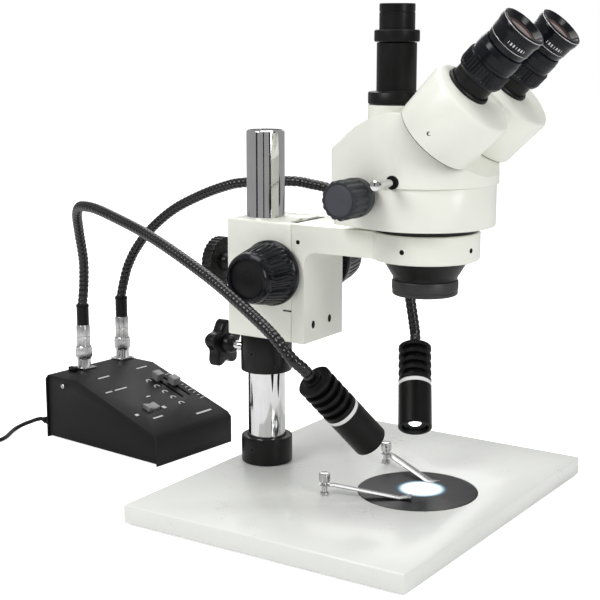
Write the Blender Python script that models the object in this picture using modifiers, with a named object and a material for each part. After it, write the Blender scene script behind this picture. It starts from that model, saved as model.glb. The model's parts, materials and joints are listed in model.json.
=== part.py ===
"""Trinocular zoom stereo microscope on a pillar stand, with its two-arm lamp unit.

Frame: metres, +Z up, origin at the centre of the base plate's underside.
The user sits on the -Y side, +X is the user's right hand.
"""
from math import atan2, cos, hypot, pi, radians, sin, tan

import bmesh
import bpy
from mathutils import Matrix, Vector

# ---------------------------------------------------------------- driving dimensions (metres)
GAP = 0.0003                 # left between touching pieces

BASE_WIDTH = 0.315           # along X
BASE_DEPTH = 0.254           # along Y
BASE_THICKNESS = 0.016
BASE_EDGE = 0.002
FOOT_RADIUS = 0.012
FOOT_PROUD = 0.0015          # below the base plate's underside
FOOT_RECESS = 0.0025
FOOT_INSET = 0.030           # foot centre from the base's edges

PILLAR_Y = 0.098
PILLAR_RADIUS = 0.016
PILLAR_WALL = 0.003
PILLAR_TOP = 0.302
COLLAR_WALL = 0.006
COLLAR_RADIUS = PILLAR_RADIUS + COLLAR_WALL
COLLAR_HEIGHT = 0.023
SAFETY_HEIGHT = 0.034

OPTIC_Y = -0.0545            # optical axis
STAGE_Y = -0.051
STAGE_RADIUS = 0.0488
STAGE_THICKNESS = 0.003
CLIP_POST_X = 0.0495
CLIP_POST_Y = 0.007
CLIP_POST_HEIGHT = 0.018
CLIP_LENGTH = 0.070
CLIP_ANGLE = 24.0            # degrees each clip turns in towards the axis

HOUSING_HALF = 0.0295        # half width along X
HOUSING_FRONT = 0.0528
HOUSING_REAR_WALL = 0.003    # thinnest metal behind the pillar
HOUSING_REAR = PILLAR_Y + PILLAR_RADIUS + HOUSING_REAR_WALL
HOUSING_BOTTOM = 0.1315
HOUSING_TOP = 0.230
KNOB_AXIS_Y = 0.069          # pinion axis
KNOB_AXIS_Z = 0.189
PINION_RADIUS = 0.005
SHAFT_RADIUS = 0.004
FOCUS_KNOB_RADIUS = 0.027
FOCUS_KNOB_LENGTH = 0.038
TENSION_COLLAR = 0.008       # the right knob stands out this much further
CHANNEL_HALF = 0.022         # slide channel in the housing's front
CHANNEL_DEPTH = 0.007
RACK_HALF = 0.004
RACK_DEPTH = 0.0044
RACK_HEIGHT = 0.080
STAR_RADIUS = 0.0205
CLAMP_KNOB_RADIUS = 0.0215
STAR_THICKNESS = 0.011
STAR_STUD_RADIUS = 0.004
STAR_STUD_LENGTH = 0.026

ARM_TOP = 0.2297
ARM_THICKNESS = 0.0215
ARM_PLATE = 0.0125           # upright plate in front of the housing
ARM_FILLET = 0.011
RING_RADIUS = 0.0425
RING_PROUD = 0.0004          # ring stands this far above and below the arm
RING_BORE = 0.0383

HEAD_FRONT_Y = -0.0523       # centre of the lower body's round front
HEAD_RADIUS = 0.0558
HEAD_REAR = 0.0575           # rear wall behind that centre
HEAD_REAR_HALF = 0.044
HEAD_BOTTOM = 0.235
HEAD_SEAM = 0.2673
HEAD_WALL = 0.003
SHELL_LIP = 0.0017           # how far the upper shell stands out past the lower body
SPIGOT_WALL = 0.006
SPIGOT_BOTTOM = 0.212
CROWN_Z = 0.3234             # highest edge of the upper shell
DRUM_TILT = 45.0             # degrees from vertical
DRUM_HALF_SPACING = 0.0347
DRUM_RADIUS = 0.034
DRUM_LENGTH = 0.044
DRUM_WALL = 0.003
DRUM_FACE_Y = -0.1105
DRUM_FACE_Z = 0.336
EYE_OFFSET = 0.0092          # eyepiece axis from the drum's axis
EYE_REST_TURN = 10.0         # degrees the offset leans inward at rest
EYE_TUBE_RADIUS = 0.0155
EYE_TUBE_WALL = 0.0015
EYE_TUBE_OUT = 0.014
DIOPTER_RADIUS = 0.0185
DIOPTER_START = 0.0115
DIOPTER_LENGTH = 0.0285
EYEPIECE_LENGTH = 0.0208     # part that shows above the diopter ring
EYEPIECE_RIM = 0.0180

TUBE_Y = -0.0262             # trinocular port axis
PORT_NECK_RADIUS = 0.022
PORT_NECK_TOP = 0.3263
PORT_FLANGE_HEIGHT = 0.0097
PORT_TUBE_RADIUS = 0.01555
PORT_TUBE_TOP = 0.3737
PORT_RING_HEIGHT = 0.0093
PORT_RING_RADIUS = 0.0176
ADAPTER_RADIUS = 0.01385
ADAPTER_TOP = 0.403
ADAPTER_BOTTOM = 0.345

ZOOM_Y = -0.029
ZOOM_Z = 0.2600
ZOOM_KNOB_RADIUS = 0.0152
ZOOM_KNOB_LENGTH = 0.031
ZOOM_KNOB_OUT = 0.0332       # outer face beyond the head's side
ZOOM_KNOB_END = HEAD_RADIUS + ZOOM_KNOB_OUT
SELECTOR_Y = -0.056
SELECTOR_Z = 0.2722
SELECTOR_OUT = 0.0265
SELECTOR_END = HEAD_RADIUS + SHELL_LIP + SELECTOR_OUT

CONE_RADIUS = 0.035
CONE_TOP = 0.2117
CONE_NECK = 0.0250
CONE_BOTTOM = 0.192
CELL_RADIUS = 0.030           # plate that holds the two objective lenses
CELL_THICKNESS = 0.005
BARLOW_RADIUS = 0.0262
BARLOW_HEIGHT = 0.0122

LAMP_BOX_X = -0.0298         # front left corner of the lamp box on the floor
LAMP_BOX_Y = 0.1975
LAMP_BOX_YAW = -5.5          # degrees
LAMP_BOX_WIDTH = 0.0997
LAMP_BOX_LENGTH = 0.1496
LAMP_BOX_REAR = 0.0622       # height at the rear shelf
LAMP_BOX_FRONT = 0.0281      # height of the front panel
LAMP_BOX_SHELF = 0.0456      # depth of the level shelf
SHEET = 0.0015
SOCKET_SPACING = 0.051
SOCKET_FIRST = 0.039
SOCKET_FROM_REAR = 0.0115
PLUG_HEIGHT = 0.033
PLUG_RADIUS = 0.0066
GOOSENECK_RADIUS = 0.00475
LAMP_RADIUS = 0.0142
LAMP_LENGTH = 0.080
SLIDER_TRAVEL = 0.030
SLIDER_SLOT = 0.0026

CORD_RADIUS = 0.002
COIL_MID_RADIUS = 0.024
COIL_HALF_WIDTH = 0.0043
COIL_HEIGHT = 0.0208
COIL_CENTRE = (-0.105, 0.378)

FLOOR = -FOOT_PROUD
WIDE_ROUND = 40              # sides of the widest turned pieces
ROUND = 28                   # sides of a large turned piece
SMALL_ROUND = 16
ORIGIN = (0.0, 0.0, 0.0)


# ---------------------------------------------------------------- scene and materials
for old in list(bpy.data.objects):
    bpy.data.objects.remove(old, do_unlink=True)

parts = bpy.data.collections.new("stereo_microscope")
cutters = bpy.data.collections.new("cutters")
bpy.context.scene.collection.children.link(parts)
bpy.context.scene.collection.children.link(cutters)


def material(name, colour, roughness, metallic=0.0):
    """A plain Principled material."""
    made = bpy.data.materials.new(name)
    made.use_nodes = True
    shader = made.node_tree.nodes["Principled BSDF"]
    shader.inputs["Base Color"].default_value = (*colour, 1.0)
    shader.inputs["Roughness"].default_value = roughness
    shader.inputs["Metallic"].default_value = metallic
    return made


WHITE_PAINT = material("white_paint", (0.80, 0.80, 0.75), 0.35)
CHROME = material("chrome", (0.80, 0.80, 0.80), 0.10, 1.0)
BLACK_PAINT = material("black_paint", (0.02, 0.02, 0.02), 0.35)
BLACK_ANODISED = material("black_anodised", (0.025, 0.025, 0.028), 0.30, 0.6)
BLACK_PLASTIC = material("black_plastic", (0.02, 0.02, 0.02), 0.45)
DARK_GREY = material("dark_grey_plastic", (0.05, 0.05, 0.055), 0.45)
GREY_PLASTIC = material("grey_plastic", (0.25, 0.25, 0.25), 0.5)
RUBBER = material("rubber", (0.03, 0.03, 0.03), 0.8)
STEEL = material("steel", (0.60, 0.60, 0.60), 0.25, 1.0)
NICKEL = material("nickel", (0.62, 0.57, 0.50), 0.25, 1.0)
BRASS = material("brass", (0.70, 0.52, 0.22), 0.30, 1.0)


# ---------------------------------------------------------------- shape helpers
def add(name, mesh, finish, collection=parts):
    """Puts a mesh into the scene as a named object."""
    made = bpy.data.objects.new(name, mesh)
    if finish:
        mesh.materials.append(finish)
    collection.objects.link(made)
    return made


def place(made, at=ORIGIN, turn=(0.0, 0.0, 0.0), parent=None):
    """Sets location, rotation in degrees and parent."""
    made.location = at
    made.rotation_euler = [radians(a) for a in turn]
    made.parent = parent
    return made


def pivot(name, at, turn=(0.0, 0.0, 0.0), parent=None):
    """An empty that carries the pieces of one group."""
    made = bpy.data.objects.new(name, None)
    parts.objects.link(made)
    return place(made, at, turn, parent)


def aim(along):
    """Euler angles in degrees that turn local +Z to the given direction."""
    turned_to = Vector(along).to_track_quat("Z", "Y").to_euler()
    return [a * 180.0 / pi for a in turned_to]


def turned(name, profile, finish, steps=ROUND, collection=parts):
    """A turned piece: the profile runs down the outer side, (radius, height) pairs.

    A profile that starts and ends on the axis is solid, any other is closed into a ring.
    """
    mesh = bpy.data.meshes.new(name)
    count = len(profile)
    edges = [(i, i + 1) for i in range(count - 1)]
    if profile[0][0] > 0.0 or profile[-1][0] > 0.0:
        edges.append((count - 1, 0))
    mesh.from_pydata([(radius, 0.0, height) for radius, height in profile], edges, [])
    made = add(name, mesh, finish, collection)
    screw = made.modifiers.new("turn", "SCREW")
    screw.axis = "Z"
    screw.angle = 2.0 * pi
    screw.steps = screw.render_steps = steps
    screw.use_merge_vertices = True
    screw.merge_threshold = 0.00001
    screw.use_smooth_shade = True
    return made


def ring_profile(outer, inner, bottom, top, edge=0.0005):
    """Section of a ring with small chamfers on its outer corners."""
    return [(inner, top), (outer - edge, top), (outer, top - edge),
            (outer, bottom + edge), (outer - edge, bottom), (inner, bottom)]


def rod_profile(radius, bottom, top, edge=0.0005):
    """Section of a solid rod with small chamfers."""
    return [(0.0, top), (radius - edge, top), (radius, top - edge),
            (radius, bottom + edge), (radius - edge, bottom), (0.0, bottom)]


def box(name, low, high, finish, edge=0.0, collection=parts):
    """A box between two corners, with bevelled edges."""
    mesh = bpy.data.meshes.new(name)
    shape = bmesh.new()
    bmesh.ops.create_cube(shape, size=1.0)
    size = [h - l for l, h in zip(low, high)]
    middle = [(l + h) / 2.0 for l, h in zip(low, high)]
    bmesh.ops.scale(shape, vec=size, verts=shape.verts)
    bmesh.ops.translate(shape, vec=middle, verts=shape.verts)
    shape.to_mesh(mesh)
    shape.free()
    made = add(name, mesh, finish, collection)
    if edge:
        rounding = made.modifiers.new("edges", "BEVEL")
        rounding.width = edge
        rounding.segments = 2
    return made


def outline(name, points, thickness, finish, collection=parts):
    """A flat outline in local XY, extruded evenly both ways from its plane."""
    flat = bpy.data.curves.new(name, "CURVE")
    flat.dimensions = "2D"
    flat.fill_mode = "BOTH"
    flat.extrude = thickness / 2.0
    run = flat.splines.new("POLY")
    run.points.add(len(points) - 1)
    for point, (x, y) in zip(run.points, points):
        point.co = (x, y, 0.0, 1.0)
    run.use_cyclic_u = True
    return solid_from_curve(name, flat, finish, collection)


def solid_from_curve(name, curve, finish, collection=parts):
    """Turns a curve into a closed mesh object with welded caps."""
    guide = bpy.data.objects.new(name + "_guide", curve)
    bpy.context.scene.collection.objects.link(guide)
    bpy.context.view_layer.update()
    evaluated = guide.evaluated_get(bpy.context.evaluated_depsgraph_get())
    mesh = bpy.data.meshes.new_from_object(evaluated)
    bpy.data.objects.remove(guide, do_unlink=True)
    shape = bmesh.new()
    shape.from_mesh(mesh)
    bmesh.ops.remove_doubles(shape, verts=shape.verts, dist=0.00002)
    bmesh.ops.recalc_face_normals(shape, faces=shape.faces)
    shape.to_mesh(mesh)
    shape.free()
    mesh.name = name
    mesh.materials.clear()
    return add(name, mesh, finish, collection)


def bent_tube(name, points, radii, finish, sides=2):
    """A round tube along the points, with a radius at each point."""
    curve = bpy.data.curves.new(name, "CURVE")
    curve.dimensions = "3D"
    curve.bevel_depth = 1.0
    curve.bevel_resolution = sides
    curve.use_fill_caps = True
    run = curve.splines.new("POLY")
    run.points.add(len(points) - 1)
    for point, place_at, radius in zip(run.points, points, radii):
        point.co = (*place_at, 1.0)
        point.radius = radius
    return solid_from_curve(name, curve, finish)


def through(points, spacing):
    """Evenly spaced points on a smooth curve through the given points."""
    known = [Vector(p) for p in points]
    known = [2.0 * known[0] - known[1]] + known + [2.0 * known[-1] - known[-2]]
    fine = []
    for a, b, c, d in zip(known, known[1:], known[2:], known[3:]):
        for step in range(24):
            t = step / 24.0
            fine.append(0.5 * (2.0 * b + (c - a) * t + (2.0 * a - 5.0 * b + 4.0 * c - d) * t * t
                               + (3.0 * b - a - 3.0 * c + d) * t ** 3))
    fine.append(known[-2])
    total = sum((q - p).length for p, q in zip(fine, fine[1:]))
    count = max(2, round(total / spacing))
    picked = [fine[0]]
    walked = 0.0
    for p, q in zip(fine, fine[1:]):
        walked += (q - p).length
        if walked >= total * len(picked) / count and len(picked) < count:
            picked.append(q)
    picked.append(fine[-1])
    return picked


def as_tool(made):
    """Hides a piece that only cuts or joins."""
    made.hide_render = True
    made.display_type = "WIRE"
    return made


def boolean(target, tool, operation):
    """Adds an exact boolean to the target."""
    change = target.modifiers.new(tool.name, "BOOLEAN")
    change.operation = operation
    change.solver = "EXACT"
    change.object = as_tool(tool)


def cut(target, tool):
    boolean(target, tool, "DIFFERENCE")


def join(target, tool):
    boolean(target, tool, "UNION")


def bore(target, name, radius, start, end, steps=SMALL_ROUND):
    """Cuts a round hole between two points of the target's own frame."""
    start, end = Vector(start), Vector(end)
    tool = turned(name, rod_profile(radius, 0.0, (end - start).length, 0.0001), None, steps, cutters)
    place(tool, start, aim(end - start), target.parent)
    if target.parent is None:
        tool.location = Vector(target.location) + start
    cut(target, tool)
    return tool


def arc(centre, radius, first, last, count):
    """Points on an arc, angles in degrees."""
    steps = [first + (last - first) * i / count for i in range(count + 1)]
    return [(centre[0] + radius * cos(radians(a)), centre[1] + radius * sin(radians(a)))
            for a in steps]


# ---------------------------------------------------------------- base, feet, stage plate, clips
base_plate = box("base_plate", (-BASE_WIDTH / 2, -BASE_DEPTH / 2, 0.0),
                 (BASE_WIDTH / 2, BASE_DEPTH / 2, BASE_THICKNESS), WHITE_PAINT, BASE_EDGE)
bore(base_plate, "stage_recess", STAGE_RADIUS + GAP,
     (0.0, STAGE_Y, BASE_THICKNESS - STAGE_THICKNESS - GAP), (0.0, STAGE_Y, BASE_THICKNESS + 0.01), WIDE_ROUND)

foot_x = BASE_WIDTH / 2 - FOOT_INSET
foot_y = BASE_DEPTH / 2 - FOOT_INSET
for side, x in (("left", -foot_x), ("right", foot_x)):
    for end, y in (("front", -foot_y), ("rear", foot_y)):
        bore(base_plate, f"recess_{end}_{side}", FOOT_RADIUS + GAP,
             (x, y, -0.01), (x, y, FOOT_RECESS))
        foot = turned(f"foot_{end}_{side}",
                      rod_profile(FOOT_RADIUS, 0.0, FOOT_RECESS + FOOT_PROUD - GAP), RUBBER, SMALL_ROUND)
        place(foot, (x, y, FLOOR))

stage_plate = turned("stage_plate", rod_profile(STAGE_RADIUS, 0.0, STAGE_THICKNESS, 0.0003),
                     BLACK_PAINT, WIDE_ROUND)
place(stage_plate, (0.0, STAGE_Y, BASE_THICKNESS - STAGE_THICKNESS))

POST_SHANK = 0.0022
POST_HEAD = 0.0045
for side, sign in (("left", -1.0), ("right", 1.0)):
    post_at = (sign * CLIP_POST_X, CLIP_POST_Y, BASE_THICKNESS + GAP)
    post = turned(f"clip_post_{side}",
                  [(0.0, CLIP_POST_HEIGHT), (POST_HEAD - 0.0006, CLIP_POST_HEIGHT),
                   (POST_HEAD, CLIP_POST_HEIGHT - 0.0006), (POST_HEAD, CLIP_POST_HEIGHT - 0.007),
                   (POST_SHANK, CLIP_POST_HEIGHT - 0.0075), (POST_SHANK, 0.002),
                   (POST_HEAD - 0.001, 0.0015), (POST_HEAD - 0.001, 0.0), (0.0, 0.0)],
                  NICKEL, SMALL_ROUND)
    place(post, post_at)
    # spring steel strip: an eye round the post, then a slope down to the plate
    strip_top = CLIP_POST_HEIGHT - 0.0095
    fall = strip_top + GAP - 0.0009
    strip = bpy.data.curves.new(f"stage_clip_{side}", "CURVE")
    strip.dimensions = "2D"
    strip.fill_mode = "BOTH"
    strip.extrude = 0.004
    side_view = [(0.0, strip_top), (0.008, strip_top), (CLIP_LENGTH - 0.010, strip_top - fall),
                 (CLIP_LENGTH, strip_top - fall + 0.002)]
    lower = [(x, z - 0.0008) for x, z in reversed(side_view)]
    run = strip.splines.new("POLY")
    run.points.add(len(side_view) + len(lower) - 1)
    for point, (x, z) in zip(run.points, side_view + lower):
        point.co = (x, z, 0.0, 1.0)
    run.use_cyclic_u = True
    clip = solid_from_curve(f"stage_clip_{side}", strip, STEEL)
    for vertex in clip.data.vertices:
        vertex.co = Vector((vertex.co.x, -vertex.co.z, vertex.co.y))
    place(clip, post_at, (0.0, 0.0, -90.0 - sign * CLIP_ANGLE))
    eye = turned(f"clip_eye_{side}", rod_profile(0.0046, strip_top - 0.0008, strip_top, 0.0001),
                 None, SMALL_ROUND, cutters)
    place(eye, post_at)
    join(clip, eye)
    hole = turned(f"clip_hole_{side}", rod_profile(POST_SHANK + 0.0002, -0.001, strip_top + 0.002, 0.0001),
                  None, SMALL_ROUND, cutters)
    place(hole, post_at)
    cut(clip, hole)


# ---------------------------------------------------------------- pillar, collars, star knobs
pillar = turned("pillar", [(PILLAR_RADIUS - PILLAR_WALL, PILLAR_TOP),
                           (PILLAR_RADIUS - 0.0015, PILLAR_TOP), (PILLAR_RADIUS, PILLAR_TOP - 0.0015),
                           (PILLAR_RADIUS, BASE_THICKNESS + GAP),
                           (PILLAR_RADIUS - PILLAR_WALL, BASE_THICKNESS + GAP)], CHROME)
place(pillar, (0.0, PILLAR_Y, 0.0))

base_collar = turned("base_collar", ring_profile(COLLAR_RADIUS, PILLAR_RADIUS + GAP, 0.0,
                                                 COLLAR_HEIGHT, 0.0015), BLACK_PAINT)
place(base_collar, (0.0, PILLAR_Y, BASE_THICKNESS + GAP))

safety_bottom = HOUSING_BOTTOM - GAP - SAFETY_HEIGHT
safety_collar = turned("safety_collar", ring_profile(COLLAR_RADIUS, PILLAR_RADIUS + GAP, 0.0,
                                                     SAFETY_HEIGHT, 0.0015), BLACK_PAINT)
place(safety_collar, (0.0, PILLAR_Y, safety_bottom))
COLLAR_STUD_Z = 0.0165
bore(safety_collar, "collar_stud_hole", STAR_STUD_RADIUS + GAP,
     (0.0, PILLAR_RADIUS - 0.004, COLLAR_STUD_Z), (0.0, COLLAR_RADIUS + 0.004, COLLAR_STUD_Z), 16)


def clamp_knob(name, at, knob_radius, lobes, depth):
    """Lobed or ribbed clamp knob with its stud; local +Z runs out through the knob, stud tip at 0."""
    points = []
    for i in range(lobes * 8):
        angle = 2.0 * pi * i / (lobes * 8)
        radius = knob_radius * (1.0 - depth + depth * cos(lobes * angle))
        points.append((radius * cos(angle), radius * sin(angle)))
    knob = outline(name, points, STAR_THICKNESS, BLACK_PLASTIC)
    for vertex in knob.data.vertices:
        vertex.co.z += STAR_STUD_LENGTH + STAR_THICKNESS / 2.0
    place(knob, at, (-90.0, 0.0, 0.0))
    stud = turned(name + "_stud",
                  [(0.0, STAR_STUD_LENGTH + 0.002), (0.0085, STAR_STUD_LENGTH + 0.002),
                   (0.0075, STAR_STUD_LENGTH - 0.007), (STAR_STUD_RADIUS, STAR_STUD_LENGTH - 0.0075),
                   (STAR_STUD_RADIUS, 0.0), (0.0, 0.0)], None, SMALL_ROUND, cutters)
    place(stud, at, (-90.0, 0.0, 0.0))
    join(knob, stud)
    return knob


clamp_knob("collar_star_knob", (0.0, PILLAR_Y + PILLAR_RADIUS + GAP, safety_bottom + COLLAR_STUD_Z),
           STAR_RADIUS, 5, 0.15)


# ---------------------------------------------------------------- focus housing and drive
housing = box("focus_housing", (-HOUSING_HALF, HOUSING_FRONT, HOUSING_BOTTOM),
              (HOUSING_HALF, HOUSING_REAR, HOUSING_TOP), WHITE_PAINT, 0.0015)
bore(housing, "pillar_bore", PILLAR_RADIUS + GAP, (0.0, PILLAR_Y, HOUSING_BOTTOM - 0.01),
     (0.0, PILLAR_Y, HOUSING_TOP + 0.01), ROUND)
channel_floor = HOUSING_FRONT + CHANNEL_DEPTH
cut(housing, box("slide_channel", (-CHANNEL_HALF, HOUSING_FRONT - 0.01, HOUSING_BOTTOM - 0.01),
                 (CHANNEL_HALF, channel_floor, HOUSING_TOP + 0.01), None, 0.0, cutters))
cut(housing, box("rack_channel", (-RACK_HALF - GAP * 3, channel_floor - 0.001, HOUSING_BOTTOM - 0.01),
                 (RACK_HALF + GAP * 3, channel_floor + RACK_DEPTH + GAP, HOUSING_TOP + 0.01),
                 None, 0.0, cutters))
bore(housing, "pinion_bore", PINION_RADIUS + GAP, (-HOUSING_HALF - 0.01, KNOB_AXIS_Y, KNOB_AXIS_Z),
     (HOUSING_HALF + 0.01, KNOB_AXIS_Y, KNOB_AXIS_Z))
CLAMP_Z = 0.187
bore(housing, "clamp_hole", STAR_STUD_RADIUS + GAP, (0.0, PILLAR_Y + PILLAR_RADIUS - 0.004, CLAMP_Z),
     (0.0, HOUSING_REAR + 0.004, CLAMP_Z), 16)
clamp_knob("housing_clamp_knob", (0.0, PILLAR_Y + PILLAR_RADIUS + GAP, CLAMP_Z), CLAMP_KNOB_RADIUS, 12, 0.01)

# pinion shaft: toothed in the middle, plain journals where the knobs sit
shaft_half = HOUSING_HALF + FOCUS_KNOB_LENGTH * 0.75
shaft_right = shaft_half + TENSION_COLLAR
pinion = turned("pinion_shaft",
                [(0.0, shaft_right), (SHAFT_RADIUS, shaft_right), (SHAFT_RADIUS, RACK_HALF * 2),
                 (PINION_RADIUS, RACK_HALF * 2), (PINION_RADIUS, -RACK_HALF * 2),
                 (SHAFT_RADIUS, -RACK_HALF * 2), (SHAFT_RADIUS, -shaft_half), (0.0, -shaft_half)],
                STEEL, 16)
place(pinion, (0.0, KNOB_AXIS_Y, KNOB_AXIS_Z), (0.0, 90.0, 0.0))

for side, sign, stand_off in (("left", -1.0, 0.003), ("right", 1.0, 0.003 + TENSION_COLLAR)):
    r = FOCUS_KNOB_RADIUS
    length = FOCUS_KNOB_LENGTH
    knob = turned(f"focus_knob_{side}",
                  [(0.0, length - 0.002), (r * 0.58, length - 0.002), (r * 0.60, length),
                   (r * 0.66, length), (r * 0.74, length - 0.004), (r * 0.78, length - 0.008),
                   (r * 0.93, 0.006), (r, 0.005), (r, 0.0005), (r - 0.0005, 0.0),
                   (SHAFT_RADIUS + GAP, 0.0), (SHAFT_RADIUS + GAP, length * 0.77),
                   (0.0, length * 0.77)], BLACK_PLASTIC)
    place(knob, (sign * (HOUSING_HALF + stand_off), KNOB_AXIS_Y, KNOB_AXIS_Z), (0.0, sign * 90.0, 0.0))
    # bearing boss under the knob, longer on the right where the tension collar sits
    boss = turned(f"knob_boss_{side}",
                  ring_profile(0.013, PINION_RADIUS + GAP, 0.0, stand_off + 0.001 - GAP, 0.0002),
                  None, SMALL_ROUND, cutters)
    place(boss, (sign * (HOUSING_HALF - 0.001), KNOB_AXIS_Y, KNOB_AXIS_Z), (0.0, sign * 90.0, 0.0))
    join(housing, boss)


# ---------------------------------------------------------------- arm with slide and head ring
arm_bottom = ARM_TOP - ARM_THICKNESS
plate_back = HOUSING_FRONT - GAP
plate_front = plate_back - ARM_PLATE
overlap = 0.020
fillet = arc((plate_front - ARM_FILLET, arm_bottom - ARM_FILLET), ARM_FILLET, 90.0, 0.0, 5)
side_view = ([(plate_back, HOUSING_BOTTOM), (plate_back, ARM_TOP),
              (OPTIC_Y + overlap, ARM_TOP), (OPTIC_Y + overlap, arm_bottom)]
             + fillet + [(plate_front, HOUSING_BOTTOM)])
arm = outline("arm_bracket", side_view, 2.0 * HOUSING_HALF, WHITE_PAINT)
for vertex in arm.data.vertices:
    vertex.co = Vector((vertex.co.z, vertex.co.x, vertex.co.y))
head_ring = turned("head_ring", rod_profile(RING_RADIUS, arm_bottom - RING_PROUD, ARM_TOP + RING_PROUD, 0.001),
                   None, WIDE_ROUND, cutters)
place(head_ring, (0.0, OPTIC_Y, 0.0))
join(arm, head_ring)
slide_low = (HOUSING_BOTTOM + HOUSING_TOP - RACK_HEIGHT) / 2.0
slide_high = slide_low + RACK_HEIGHT
join(arm, box("slide_tongue", (-CHANNEL_HALF + GAP, plate_back - 0.004, slide_low),
              (CHANNEL_HALF - GAP, channel_floor - GAP, slide_high), None, 0.0, cutters))
ring_bore = turned("ring_bore", rod_profile(RING_BORE, arm_bottom - 0.01, ARM_TOP + 0.01, 0.0001),
                   None, WIDE_ROUND, cutters)
place(ring_bore, (0.0, OPTIC_Y, 0.0))
cut(arm, ring_bore)
LOCK_Z = (arm_bottom + ARM_TOP) / 2.0
LOCK_RADIUS = 0.0025
bore(arm, "lock_hole", LOCK_RADIUS + GAP, (RING_BORE - 0.006, OPTIC_Y, LOCK_Z),
     (RING_RADIUS + 0.01, OPTIC_Y, LOCK_Z), 16)

rack = box("focus_rack", (-RACK_HALF, channel_floor, slide_low),
           (RACK_HALF, channel_floor + RACK_DEPTH - GAP * 2, slide_high), BRASS)

lock_knob = turned("ring_lock_knob",
                   [(0.0, 0.016), (0.0052, 0.016), (0.0060, 0.0152), (0.0060, 0.0068), (0.0052, 0.006),
                    (LOCK_RADIUS, 0.0058), (LOCK_RADIUS, 0.0), (0.0, 0.0)], BLACK_PLASTIC, SMALL_ROUND)
place(lock_knob, (RING_BORE + 0.0007, OPTIC_Y, LOCK_Z), (0.0, 90.0, 0.0))


# ---------------------------------------------------------------- head shells
def head_outline(radius, rear_half, rear, count=24):
    """Plan of the head: a round front, straight sides closing in to the rear wall."""
    reach = hypot(rear_half, rear)
    tangent = atan2(rear, -rear_half) + pi / 2.0 - atan2(radius, (reach ** 2 - radius ** 2) ** 0.5)
    first = tangent * 180.0 / pi
    last = 540.0 - first
    points = arc((0.0, HEAD_FRONT_Y), radius, first, last, count)
    corner = 0.006
    points += arc((rear_half - corner, HEAD_FRONT_Y + rear - corner), corner, 10.0, 90.0, 4)
    points += arc((-rear_half + corner, HEAD_FRONT_Y + rear - corner), corner, 90.0, 170.0, 4)
    return points


def prism(name, points, low, high, finish, collection=parts):
    """An outline in plan, raised between two heights."""
    made = outline(name, points, high - low, finish, collection)
    for vertex in made.data.vertices:
        vertex.co.z += (low + high) / 2.0
    return made


def rotor(name, profile, steps=WIDE_ROUND):
    """A turned cutter on the optical axis."""
    made = turned(name, profile, None, steps, cutters)
    return place(made, (0.0, OPTIC_Y, 0.0))


lower_body = prism("lower_body", head_outline(HEAD_RADIUS, HEAD_REAR_HALF, HEAD_REAR),
                   HEAD_BOTTOM, HEAD_SEAM, WHITE_PAINT)
spigot_radius = RING_BORE - GAP
spigot_bore = spigot_radius - SPIGOT_WALL
join(lower_body, rotor("spigot", rod_profile(spigot_radius, SPIGOT_BOTTOM, HEAD_BOTTOM + 0.002, 0.0002), WIDE_ROUND))
inner_plan = head_outline(HEAD_RADIUS - HEAD_WALL, HEAD_REAR_HALF - HEAD_WALL, HEAD_REAR - HEAD_WALL)
cut(lower_body, prism("lower_hollow", inner_plan, HEAD_BOTTOM + 0.004, HEAD_SEAM + 0.01, None, cutters))
cut(lower_body, rotor("spigot_hollow", rod_profile(spigot_bore, SPIGOT_BOTTOM - 0.01,
                                                   HEAD_BOTTOM + 0.02, 0.0001)))
bore(lower_body, "zoom_bore", SHAFT_RADIUS + GAP, (-0.07, ZOOM_Y, ZOOM_Z), (0.07, ZOOM_Y, ZOOM_Z), 20)

shell_radius = HEAD_RADIUS + SHELL_LIP
shell_bottom = HEAD_SEAM + GAP
drum_seat_y = DRUM_FACE_Y + DRUM_LENGTH * sin(radians(DRUM_TILT))
drum_seat_z = DRUM_FACE_Z - DRUM_LENGTH * cos(radians(DRUM_TILT))


def slope_z(y):
    """Height of the sloping seat that carries the prism drums."""
    return drum_seat_z - (drum_seat_y - y) * tan(radians(DRUM_TILT))


crown_y = -0.0610
rear_y = HEAD_FRONT_Y + HEAD_REAR


def shell_side(inset, bottom):
    """Side view of the upper shell, moved inward by the inset."""
    front_y = HEAD_FRONT_Y - shell_radius - 0.004
    return [(rear_y + 0.004, bottom), (front_y, bottom), (front_y, slope_z(front_y) - inset * 1.4),
            (crown_y, slope_z(crown_y) - inset * 1.4), (crown_y + 0.009, CROWN_Z - inset),
            (-0.034, 0.3185 - inset), (-0.019, 0.3115 - inset), (rear_y - 0.004, 0.2965 - inset),
            (rear_y + 0.004, 0.2905 - inset)]


def side_block(name, points, half_width):
    """A side view outline carried across the width, as a cutter."""
    made = outline(name, points, 2.0 * half_width, None, cutters)
    for vertex in made.data.vertices:
        vertex.co = Vector((vertex.co.z, vertex.co.x, vertex.co.y))
    return made


upper_body = prism("upper_body", head_outline(shell_radius, HEAD_REAR_HALF + SHELL_LIP,
                                              HEAD_REAR + SHELL_LIP),
                   shell_bottom, CROWN_Z + 0.01, WHITE_PAINT)
boolean(upper_body, side_block("shell_side", shell_side(0.0, shell_bottom - 0.01), 0.09), "INTERSECT")
neck = turned("port_neck", rod_profile(PORT_NECK_RADIUS, 0.29, PORT_NECK_TOP, 0.0005), None, ROUND, cutters)
place(neck, (0.0, TUBE_Y, 0.0))
join(upper_body, neck)
shell_hollow = prism("shell_hollow", inner_plan, shell_bottom - 0.01, CROWN_Z + 0.01, None, cutters)
boolean(shell_hollow, side_block("hollow_side", shell_side(HEAD_WALL, shell_bottom - 0.02), 0.08),
        "INTERSECT")
cut(upper_body, shell_hollow)
port_bore = ADAPTER_RADIUS + GAP
neck_bore = turned("neck_bore", rod_profile(port_bore, 0.28, PORT_NECK_TOP + 0.01, 0.0001),
                   None, ROUND, cutters)
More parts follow.
